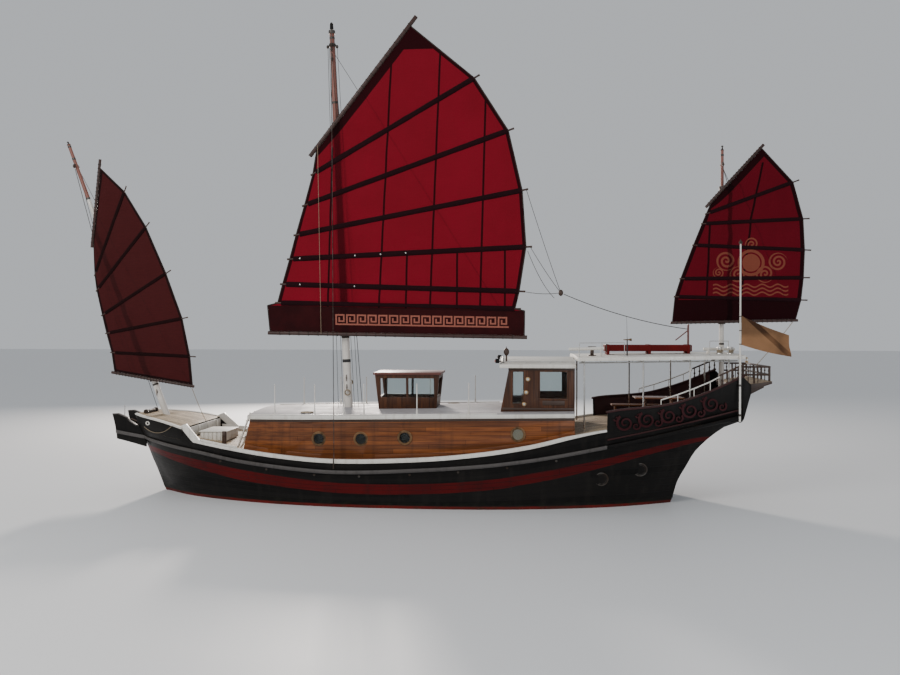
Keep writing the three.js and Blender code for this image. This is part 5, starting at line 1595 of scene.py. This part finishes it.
def build_house_gear():
    """Rail, lantern and side lights on the wheelhouse roof, and the lamps on the port side."""
    rail = [tube([(x, y, 4.235) for x in (2.84, 3.4, 4.0, 4.6, 4.96)], 0.014, 10) for y in (-1.50, 1.50)]
    camber = [(2.84, y / 10, 4.235 + 0.10 * (1 - (y / 15) ** 2)) for y in range(-15, 16, 3)]
    feet = [(x, y) for x in (2.84, 3.55, 4.25, 4.96) for y in (-1.50, 1.50)]
    posts = bars(*[((x, y, 4.15), (x, y, 4.24), 0.011, 0.011, 10) for x, y in feet])
    piece("house_roof_rail", gather([*rail, tube(camber, 0.014, 10), posts]), "steel")

    lamps, lenses = [], bmesh.new()
    for x, z, size in ((3.60, 3.72, 0.055), (3.55, 3.33, 0.050), (3.49, 2.98, 0.050)):
        lamps.append(hoop((x, -1.54, z), (0, 1, 0), size, 0.014))
        lamps.append(bars(((x, -1.50, z), (x, -1.55, z), size * 0.9, size, 20)))
        ball(lenses, (x, -1.548, z), size * 0.82)
    piece("house_lamps", gather(lamps), "brass")
    piece("house_lamp_lenses", lenses, "lens_clear")
    lantern = upright(2.96, -1.18, (4.15, 4.42, 0.030, 0.024), (4.60, 4.68, 0.02, 0.008, 12))
    ball(lantern, (2.96, -1.18, 4.52), 0.085, 1.35, 20)
    piece("roof_lantern", lantern, "dark_wood")
    lenses = (("side_light_lens", "lens_red"), ("side_light_lens_starboard", "lens_clear"))
    for (side, sign), (name, finish) in zip(SIDES, lenses):
        arm = bars(((2.90, sign * 1.48, 4.22), (2.72, sign * 1.60, 4.26), 0.016, 0.016, 10))
        block(arm, (2.64, 2.76), sorted((sign * 1.55, sign * 1.66)), (4.20, 4.33))
        piece(f"side_light_{side}", soften(arm, 0.006), "black")
        piece(name, upright(2.66, sign * 1.605, (4.225, 4.305, 0.05)), finish)


# Canopy and roof gear


def build_canopy():
    """Canopy roof and frame with struts, its rails, the locker and the boom crutch."""
    finished("canopy_roof", "white", 0.014)
    finished("canopy_frame", "steel", 0.003)

    def struts():
        parts = []
        for x in (5.25, 5.72, 6.19, 6.66, 6.96, 7.43, 7.90, 8.30, 8.80, 9.40):
            low = canopy_low_at(x)
            parts.append(((x, 1.60, low - 0.06), (x, 1.60, low + 0.01), 0.016, 0.016, 10))
        return bars(*parts)

    both_sides("canopy_struts", struts, "steel")
    finished("roof_locker", "cover", 0.012)
    finished("roof_spar", "white")
    crutch = bars(((8.50, -0.26, 4.50), (8.50, -0.26, 5.32), 0.034, 0.030),
                  ((8.50, -0.34, 5.33), (8.50, -0.18, 5.33), 0.024, 0.024, 12),
                  ((8.12, -0.26, 4.86), (8.49, -0.26, 5.16), 0.018, 0.018, 10))
    piece("boom_crutch_post", crutch, "red_brown", replaces=("boom_crutch",))
    straps = [((x - 0.05, x + 0.05), (-0.572, 0.052), (4.52, 4.735)) for x in (6.02, 8.48)]
    piece("locker_straps", blocks(*straps, edge=0.008), "dark_wood")

    def rail(y, xs, posts, height):
        ends = [((x, y, canopy_low_at(x) + 0.09), (x, y, height(x)), 0.010, 0.010, 8) for x in posts]
        return [tube([(x, y, height(x)) for x in xs], 0.010), bars(*ends)]

    rails = rail(-1.70, (5.10, 5.8, 6.4), (5.10, 5.75, 6.40), lambda x: 4.80 + 0.01 * (x - 5.1))
    rails += rail(-1.62, (8.85, 9.10, 9.38), (8.85, 9.38), lambda x: 4.86)
    piece("canopy_rails", gather(rails), "steel")


def build_roof_gear():
    """Tube, pedestal, aerial, horns and winches on the canopy roof."""
    top = canopy_low_at(5.4) + CANOPY["thick"]
    legs = bars(*[((x, -1.30, top - 0.03), (x, -1.30, 4.61), 0.016, 0.016, 10) for x in (5.12, 5.75)])
    rod = tube([(4.82, -1.30, 4.61), (5.3, -1.30, 4.62), (5.85, -1.30, 4.64)], 0.045, 20)
    piece("roof_tube", gather([rod, legs]), "white")
    pedestal = upright(5.52, -1.05, (top, top + 0.05, 0.15, 0.12, 24),
                       (top + 0.05, top + 0.22, 0.055, 0.055, 20), (top + 0.22, top + 0.31, 0.06, 0.13, 24))
    piece("roof_pedestal", soften(pedestal, 0.004), "dark_wood")

    base = canopy_low_at(6.54) + 0.09
    whip = bars(((6.54, -1.20, base), (6.54, -1.20, 4.92), 0.020, 0.016, 12),
                ((6.54, -1.20, 4.92), (6.52, -1.20, 5.60), 0.006, 0.003, 8))
    piece("whip_aerial", whip, "rubber")
    horns = bars(((6.54, -1.29, 4.87), (6.54, -1.11, 4.87), 0.010, 0.010, 8))
    for y in (-1.28, -1.12):
        bar(horns, (6.44, y, 4.89), (6.58, y, 4.89), 0.014, sides=12)
        bar(horns, (6.58, y, 4.89), (6.66, y, 4.89), 0.016, 0.042, 20)
    piece("fog_horns", horns, "bronze")

    winches, turns = [], []
    base = canopy_low_at(9.6) + 0.09
    for x in (9.30, 9.62):
        winches.append(upright(x, -0.90, (base, base + 0.06, 0.11, 0.10, 24),
                               (base + 0.06, base + 0.20, 0.062, 0.072, 24),
                               (base + 0.20, base + 0.24, 0.085, 0.08, 24)))
        turns += [hoop((x, -0.90, base + 0.08 + 0.024 * k), (0, 0, 1), 0.078, 0.011, 24, 6) for k in range(4)]
    piece("roof_winches", soften(gather(winches), 0.004), "steel")
    piece("winch_turns", gather(turns), "rope")


def build_cockpit():
    """Benches with cushions, and the table, under the canopy."""
    finished("bench_port bench_starboard", "bright_deckwork", 0.008)
    finished("table", "bright_deckwork", 0.010)


def build_coils():
    """Coils of spare line hung at the masts and laid on the cabin top."""
    coils = []
    for x, y, z in ((-2.08, -0.20, 3.19), (-2.08, 0.20, 3.49), (9.56, -0.14, 3.39)):
        for k in range(5):
            coils.append(hoop((x, y, z), (0.12 * (k - 2), 1, 0.05 * k), 0.09 - 0.0036 * k, 0.010, 28, 6))
    for x, y in ((-3.1, -1.35), (1.2, 1.2)):
        base = cabin_top_at(x) + CABIN["slab"] + 0.05
        coils += [hoop((x, y, base), (0, 0, 1), 0.07 + 0.024 * k, 0.011, 32, 6) for k in range(6)]
    piece("line_coils", gather(coils), "rope")


# Masts


def on_mast(name, z):
    """Centre of a mast at a height, and its radius there."""
    mast = MASTS[name]
    share = (z - mast["foot"].z) / (mast["head"].z - mast["foot"].z)
    return mast["foot"].lerp(mast["head"], share), mix(*mast["radii"], share)


def mast_axis(name):
    return (MASTS[name]["head"] - MASTS[name]["foot"]).normalized()


def pole(name, low, high, extra=0.0, steps=12):
    """Part of a mast between two heights, thicker than the mast by extra."""
    axis = mast_axis(name)
    first = axis.orthogonal().normalized()
    second = axis.cross(first)
    rings = []
    for i in range(steps + 1):
        middle, radius = on_mast(name, mix(low, high, i / steps))
        rings.append([middle + (first * math.cos(turn) + second * math.sin(turn)) * (radius + extra)
                      for turn in full_turn(32)])
    return skin(rings)


def mast_bands(name, heights, half, extra):
    return gather([soften(pole(name, z - half, z + half, extra, steps=1), 0.004) for z in heights])


def pulley(middle, size, axis=(0, 1, 0)):
    """Wooden pulley block with its pin."""
    middle, axis = Vector(middle), Vector(axis).normalized()
    shell = bmesh.new()
    spot = Matrix.Translation(middle) @ axis.to_track_quat("Z", "Y").to_matrix().to_4x4()
    bmesh.ops.create_uvsphere(shell, u_segments=18, v_segments=10, radius=size,
                              matrix=spot @ Matrix.Diagonal((0.75, 1.0, 0.5, 1.0)))
    bar(shell, middle - axis * size * 0.62, middle + axis * size * 0.62, size * 0.22, sides=12)
    return shell


# Poles of the masts: foot, top of the white paint, top, heights of the irons, their half height and depth

MAST_POLES = {
    "main": (1.345, 10.95, 14.62, (4.95, 8.6, 12.4, 14.45), 0.035, 0.006),
    "fore": (2.15, 9.45, 11.23, (3.4, 9.45, 10.75, 11.15), 0.03, 0.006),
    "mizzen": (2.50, 9.50, 10.70, (4.75, 8.9, 10.55), 0.03, 0.005),
}

# Lines from the main masthead to the foot of the mast: place beside the mast at the top and at the deck

FALLS = [(-0.15, 0.02, -0.36, 0.12), (-0.12, 0.08, -0.22, 0.20), (0.15, 0.02, 0.30, 0.12),
         (0.05, 0.15, 0.14, 0.26)]


def build_masts():
    """Three pole masts with their irons, coats, trucks, masthead gear and cleats."""
    for name, (foot, painted_to, top, irons, half, extra) in MAST_POLES.items():
        piece(f"{name}_mast_pole", pole(name, foot, painted_to), "mast", replaces=(f"{name}_mast",))
        piece(f"{name}_mast_head", pole(name, painted_to, top), "mast_head")
        piece(f"{name}_mast_irons", mast_bands(name, irons, half, extra), "iron")
    piece("main_mast_band", pole("main", 4.14, 4.24, 0.004, steps=1), "rubber")

    trucks = bmesh.new()
    for name, low, high in (("main", 14.62, 14.93), ("fore", 11.22, 11.30), ("mizzen", 10.70, 10.82)):
        foot, radius = on_mast(name, low)
        top, _ = on_mast(name, high)
        bar(trucks, foot, foot + mast_axis(name) * 0.035, radius + 0.014, radius * 0.7, 24)
        bar(trucks, foot, top, 0.026, 0.016)
        ball(trucks, top, 0.036, 0.7)
    piece("mast_trucks", trucks, "iron")
    low, high = on_mast("main", 14.72)[0], on_mast("main", 14.90)[0]
    lantern = bars((low, high, 0.060, 0.052, 20), (high, high + Vector((0, 0, 0.03)), 0.066, 0.02, 20))
    piece("masthead_lantern", lantern, "black")
    middle, radius = on_mast("main", 14.22)
    up = Vector((0, 0, 0.05))
    crown = bars((middle - up, middle + up, radius + 0.03, radius + 0.03, 24))
    for x, y in ((-0.15, 0), (0.15, 0), (0, -0.15), (0, 0.15)):
        bar(crown, middle, middle + Vector((x, y, -0.01)), 0.020, sides=10)
        ball(crown, middle + Vector((x, y, -0.04)), 0.045, 1.3, 12)
    piece("main_masthead_irons", crown, "iron")
    end, _ = on_mast("main", 2.62)
    falls = []
    for top_x, top_y, end_x, end_y in FALLS:
        falls.append(tube([middle + Vector((top_x, top_y, -0.05)), end + Vector((end_x, end_y, 0))], 0.007))
    piece("main_mast_falls", gather(falls), "tarred")
    coats = (("main", 2.56, 2.66), ("fore", 2.20, 2.33), ("mizzen", 2.50, 2.62))
    piece("mast_coats", gather([soften(pole(*coat, 0.05, steps=1), 0.014) for coat in coats]), "mast")

    pulleys, straps = [], []
    for name, z, spread in (
        ("main", 14.10, 0.17), ("main", 13.80, 0.17), ("fore", 10.55, 0.13), ("mizzen", 10.30, 0.11),
    ):
        middle, _ = on_mast(name, z)
        for sign in (-1, 1):
            pulleys.append(pulley(middle + Vector((0, sign * spread, -0.05)), 0.07, (1, 0, 0)))
            straps.append((middle, middle + Vector((0, sign * (spread - 0.02), 0.02)), 0.014, 0.014, 10))
    piece("masthead_blocks", gather(pulleys), "dark_wood")
    piece("masthead_straps", bars(*straps), "iron")

    cleats = bmesh.new()
    for name, z in (("main", 3.35), ("main", 3.65), ("mizzen", 3.55), ("fore", 3.15)):
        middle, radius = on_mast(name, z)
        for sign in (-1, 1):
            y = sign * (radius + 0.035)
            bar(cleats, middle + Vector((0, y * 0.6, 0)), middle + Vector((0, y, 0)), 0.02, sides=10)
            bar(cleats, middle + Vector((0, y, -0.10)), middle + Vector((0, y, 0.10)), 0.012, sides=10)
    piece("mast_cleats", cleats, "dark_wood")


# Sails; a spar's row is its radius and how far it reaches past the luff and past the leech

SAIL_FINISH = {"fore": "brown_sail", "main": "crimson", "mizzen": "mizzen"}
SPARS = {
    "fore": {"yard": (0.045, 0.12, 0.29), "boom": (0.045, 0.06, 0.09)},
    "main": {"yard": (0.065, 0.26, 0.34), "boom": (0.060, 0.09, 0.06)},
    "mizzen": {"yard": (0.045, 0.15, 0.12), "boom": (0.042, 0.06, 0.06)},
}


def sail_edge(name, row):
    """Luff and leech points at a row number, fractions included."""
    rows = SAILS[name]["rows"]
    low = min(int(row), len(rows) - 2)
    luff_x, luff_z, leech_x, leech_z = (mix(p, q, row - low) for p, q in zip(rows[low], rows[low + 1]))
    side = SAILS[name]["side"]
    return Vector((luff_x, side, luff_z)), Vector((leech_x, side, leech_z))


def sail_cloth(name, across=84, steps=12):
    """Single sheet of cloth between the foot and the yard, bellied between its battens and creased."""
    rows = SAILS[name]["rows"]
    heights = [0.0]
    for row in range(len(rows) - 1):
        span = rows[row + 1][1] - rows[row][1]
        count = steps if span > 0.3 else 2
        heights += [row + (k + 1) / count for k in range(count)]
    edges = [sail_edge(name, row) for row in heights]
    rings = [[luff.lerp(leech, k / across) for k in range(across + 1)] for luff, leech in edges]
    spans = [[0.0] * (across + 1)]
    for low, high in zip(rings, rings[1:]):
        spans.append([total + (b - a).length for total, a, b in zip(spans[-1], low, high)])

    def cloth(i, j):
        width = (rings[i][-1] - rings[i][0]).length
        from_side = min(j, across - j) / across * width
        return min(from_side, spans[i][j]), spans[-1][j] - spans[i][j]

    flat = skin(rings, closed=False, ends=False, maps={"cloth": cloth})
    area = sum(face.calc_area() for face in flat.faces)
    seed = Vector((ord(name[0]), 3.7, 0.0))
    battens = [0] + list(SAILS[name]["battens"]) + [len(rows) - 1]
    bellied = {}
    for i, row in enumerate(heights):
        low = max(k for k in battens if k <= row)
        high = min([k for k in battens if k > row] or [low + 1])
        rise = math.sin(math.pi * (row - low) / (high - low))
        for j, spot in enumerate(rings[i]):
            belly = 0.055 * rise * math.sin(math.pi * (j / across)) ** 0.6
            crease = noise.noise(Vector((spot.x * 0.9, spot.z * 2.6, 0)) + seed) * 0.030
            crease += noise.noise(Vector((spot.x * 3.1, spot.z * 0.9, 4.0)) + seed) * 0.022
            crease += noise.noise(Vector((spot.x * 1.1 + spot.z * 5.0, spot.z, 9.0)) + seed) * 0.008
            bellied[(round(spot.x, 4), round(spot.z, 4))] = belly + crease * (0.25 + 0.75 * rise)
    for vertex in flat.verts:
        vertex.co.y -= bellied.get((round(vertex.co.x, 4), round(vertex.co.z, 4)), 0.0)
    return flat, area


def spar_line(name, kind):
    """Ends of a yard or a boom, and its radius."""
    rows = SAILS[name]["rows"]
    radius, before, after = SPARS[name][kind]
    luff, leech = sail_edge(name, len(rows) - 1 if kind == "yard" else 0)
    along = (leech - luff).normalized()
    out = Vector((-along.z, 0, along.x)) * (1 if kind == "yard" else -1)
    shift = out * (radius + 0.0003)
    return luff - along * before + shift, leech + along * after + shift, radius


def sleeve(start, end, half_height, half_depth, sides=14, steps=40):
    """Cloth pocket drawn over a batten, a little fuller between its stitches."""
    along = (end - start).normalized()
    up = Vector((-along.z, 0, along.x))
    rings = []
    for i in range(steps + 1):
        middle = start.lerp(end, i / steps)
        full = 1 + 0.10 * noise.noise(middle * 2.3)
        ring = []
        for turn in full_turn(sides):
            rise, out = math.sin(turn) * half_height * full, math.cos(turn) * half_depth * full
            ring.append(middle + up * rise + Vector((0, out, 0)))
        rings.append(ring)
    return skin(rings)


def batten_parrels(name):
    """Line from each batten round the fore side of the mast, where the mast crosses the sail."""
    sail = SAILS[name]
    parrels = []
    for row in sail["battens"]:
        luff, leech = sail_edge(name, row)
        middle, radius = on_mast(name, luff.z)
        for _ in range(3):
            share = (middle.x - luff.x) / (leech.x - luff.x)
            middle, radius = on_mast(name, mix(luff.z, leech.z, share))
        if not 0 < share < 1:
            continue
        wide = radius * 1.1 + 0.035
        path = [(middle.x - wide * 1.15, sail["side"] + 0.03, middle.z + 0.02)]
        for k in range(13):
            turn = math.pi * (1 - k / 12)
            path.append((middle.x + wide * math.cos(turn), wide * math.sin(turn), middle.z))
        path.append((middle.x + wide * 1.15, sail["side"] + 0.03, middle.z - 0.02))
        parrels.append(tube(path, 0.010))
    return gather(parrels)


def build_sail(name):
    """Cloth, battens in their pockets, edge ropes, lacing and parrels of one sail, with its spars."""
    body = f"{name}_rig"
    sail = SAILS[name]
    finished(f"{name}_yard {name}_boom", "spar", 0.003)
    bm, area = sail_cloth(name)
    if name == "main":
        foot = sail["rows"][1]
        for face in bm.faces:
            middle = face.calc_center_median()
            edge = mix(foot[1], foot[3], (middle.x - foot[0]) / (foot[2] - foot[0]))
            face.material_index = 1 if middle.z < edge else 0
    cloth = piece(f"{name}_sail_cloth", bm, SAIL_FINISH[name], body, sharp=80, replaces=(f"{name}_sail",))
    if name == "main":
        cloth.data.materials.append(FINISH["foot_band"])

    poles, pockets, tips = bmesh.new(), [], bmesh.new()
    ahead = 0.05 if name == "main" else 0.015
    thick = sail["batten"]
    for row in sail["battens"]:
        luff, leech = sail_edge(name, row)
        along = (leech - luff).normalized()
        ends = luff - along * ahead, leech + along * 0.16
        bar(poles, *ends, thick * 0.62)
        pockets.append(sleeve(luff + along * 0.12, leech - along * 0.02, thick * 1.75, thick * 0.95))
        for end in ends:
            ball(tips, end, thick * 0.66, sides=12)
            bar(tips, end - along * 0.03, end + along * 0.03, thick * 0.68, sides=14)
    piece(f"{name}_sail_battens", poles, "spar", body)
    cover = "brown_pocket" if name == "fore" else "pocket"
    piece(f"{name}_batten_pockets", gather(pockets), cover, body, sharp=70)
    piece(f"{name}_batten_ends", tips, "dark_wood", body)

    last = len(sail["rows"]) - 1
    edges = [sail_edge(name, k / 8) for k in range(last * 8 + 1)]
    ropes = gather([tube(edge, thick * 0.38) for edge in zip(*edges)])
    bolt_rope = piece(f"{name}_bolt_rope", ropes, "tarred", body)

    lacing = []
    for kind, count in (("yard", 22), ("boom", 26)):
        start, end, radius = spar_line(name, kind)
        for k in range(1, count):
            middle = start.lerp(end, (k + 0.35) / (count + 0.7))
            lacing.append(hoop(middle, (end - start) + Vector((0, 0.15, 0)), radius + 0.007, 0.009, 16, 6))
    piece(f"{name}_lacing", gather(lacing), "tarred", body)
    piece(f"{name}_batten_parrels", batten_parrels(name), "tarred", body)


def build_sail_fittings():
    """Small plates on the battens, the line that lies on the main sail, the fore halyard and the lifts."""
    side = SAILS["main"]["side"]
    plates = []
    for row, places in ((4, (-3.55, -1.79, -0.98, -0.19)), (3, (-3.55, -1.81))):
        luff, leech = sail_edge("main", row)
        for x in places:
            z = mix(luff.z, leech.z, (x - luff.x) / (leech.x - luff.x))
            plates.append(((x - 0.020, x + 0.020), (side - 0.062, side - 0.044), (z - 0.020, z + 0.020)))
    piece("main_batten_plates", blocks(*plates, edge=0.004), "steel", "main_rig")
    spots = [(mix(-2.86, -2.96, k / 20), side - 0.115, mix(5.05, 10.95, k / 20)) for k in range(21)]
    piece("main_sail_line", tube(spots, 0.007), "rope", "main_rig")
    head, _ = on_mast("fore", 10.6)
    halyard = [Vector((-8.46, 0.30, 2.44)), head + Vector((-0.05, 0.12, 0.0))]
    piece("fore_halyard", tube(halyard, 0.008), "tarred")

    rigs = (("main", 14.05, (0.30, 0.97)), ("fore", 10.5, (0.25, 0.96)), ("mizzen", 10.25, (0.96,)))
    for name, top, shares in rigs:
        head, _ = on_mast(name, top)
        start, end, _ = spar_line(name, "boom")
        beside_mast = Vector((0, 0.06, 0))
        lifts = []
        for share in shares:
            lifts.append(tube(sagging(head + beside_mast, start.lerp(end, share) + beside_mast, 0.05), 0.007))
        start, end, _ = spar_line(name, "yard")
        share = (head.x - start.x) / (end.x - start.x)
        sling = start.lerp(end, min(max(share + 0.06, 0.12), 0.6))
        lifts.append(tube([head + Vector((0, -0.10, -0.1)), sling + Vector((0, 0.02, 0.03))], 0.010))
        piece(f"{name}_lifts", gather(lifts), "tarred", f"{name}_rig")


# Sheets and running lines

EUPHROE = Vector((4.62, -0.38, 6.32))


def bent_line(name, points, radius, finish):
    """Line made fast on a rig at start and on the ship at end."""
    made = piece(name, tube(points, radius), finish)
    made.parent = None
    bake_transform(made)


def build_sheets():
    """Sheetlets and sheet of the main sail, and the sheets of the other two."""
    parts = []
    for row in (3, 4, 5):
        luff, leech = sail_edge("main", row)
        tip = leech + (leech - luff).normalized() * 0.13
        parts.append(tube(sagging(tip, EUPHROE, 0.05), 0.008))
    tip = sail_edge("main", 4)[1]
    path = sagging(tip + Vector((0.05, 0, -0.12)), EUPHROE + Vector((-0.20, 0, -0.16)), 0.16)
    parts.append(tube(path, 0.008))
    piece("main_sheetlets", gather(parts), "tarred", "main_rig")
    piece("main_euphroe", pulley(EUPHROE, 0.10), "dark_wood", "main_rig")
    foot = Vector((8.50, -0.26, 5.20))
    path = sagging(EUPHROE + Vector((0.09, 0, -0.04)), foot, 0.14, 24)
    bent_line("main_sheet", path, 0.011, "tarred")
    cleat = Vector((-6.55, -0.60, 2.30))
    path = sagging(spar_line("fore", "boom")[1] + Vector((-0.1, 0, -0.05)), cleat, 0.04, 18)
    bent_line("fore_sheet", path, 0.010, "rope")
    cleat = Vector((10.50, -0.43, 4.12))
    path = sagging(spar_line("mizzen", "boom")[1] + Vector((-0.15, 0, -0.05)), cleat, 0.03, 18)
    bent_line("mizzen_sheet", path, 0.010, "rope")


# Flag on the port quarter: the place of its staff, and its corners from the staff round

STAFF_X, STAFF_Y = 9.63, -1.95
FLAG_CORNERS = ((9.66, 4.76), (9.66, 5.59), (10.98, 5.04), (11.04, 4.42))


def build_flag():
    """Plain buff flag with a dark stripe of painted fold shadow, hung in folds from its staff, and the
    staff with its irons.
    """
    low, high, far_high, far_low = (Vector((x, STAFF_Y, z)) for x, z in FLAG_CORNERS)
    across, up = 44, 26
    rings = []
    for i in range(across + 1):
        foot, head = low.lerp(far_low, i / across), high.lerp(far_high, i / across)
        rings.append([foot.lerp(head, j / up) for j in range(up + 1)])
    bm = skin(rings, closed=False, ends=False)
    area = sum(face.calc_area() for face in bm.faces)
    for vertex in bm.verts:
        out = min(max((vertex.co.x - FLAG_CORNERS[0][0]) / 1.35, 0.0), 1.0)
        diagonal = vertex.co.x + (vertex.co.z - 4.7) * 1.5
        fold = math.sin(diagonal * 5.2) * 0.045 + math.sin(diagonal * 9.7 + 1.0) * 0.016
        vertex.co.y += fold * (out ** 0.7)
        vertex.co.z -= 0.03 * math.sin(math.pi * out)
    cloth = piece("flag_cloth", bm, "flag", sharp=80, replaces=("flag",))
    staff = upright(STAFF_X, STAFF_Y, (2.56, 7.66, 0.030, 0.020, 20))
    ball(staff, (STAFF_X, STAFF_Y, 7.66), 0.021)
    piece("flag_staff", staff, "white", replaces=("flag_pole",))
    rings = [(z - 0.03, z + 0.03, 0.044, 0.044, 20) for z in (2.75, 3.60)]
    rings += [(z - 0.012, z + 0.012, 0.036) for z in (4.78, 5.17, 5.57)]
    irons = upright(STAFF_X, STAFF_Y, (7.64, 7.70, 0.045, 0.05), (7.70, 7.76, 0.032, 0.012), *rings)
    for z in (2.75, 3.60):
        bar(irons, (STAFF_X, STAFF_Y, z), (STAFF_X, -1.68, z), 0.014, sides=10)
    piece("flag_staff_irons", irons, "iron")


# Everything in its order

build_hull()
build_hull_portholes()
build_chainplates()
build_bow()
build_well()
build_stern()
build_cabin()
build_deck_box()
build_house()
build_house_gear()
build_canopy()
build_roof_gear()
build_cockpit()
build_masts()
for rig in SAILS:
    build_sail(rig)
build_sail_fittings()
build_sheets()
build_flag()
build_coils()
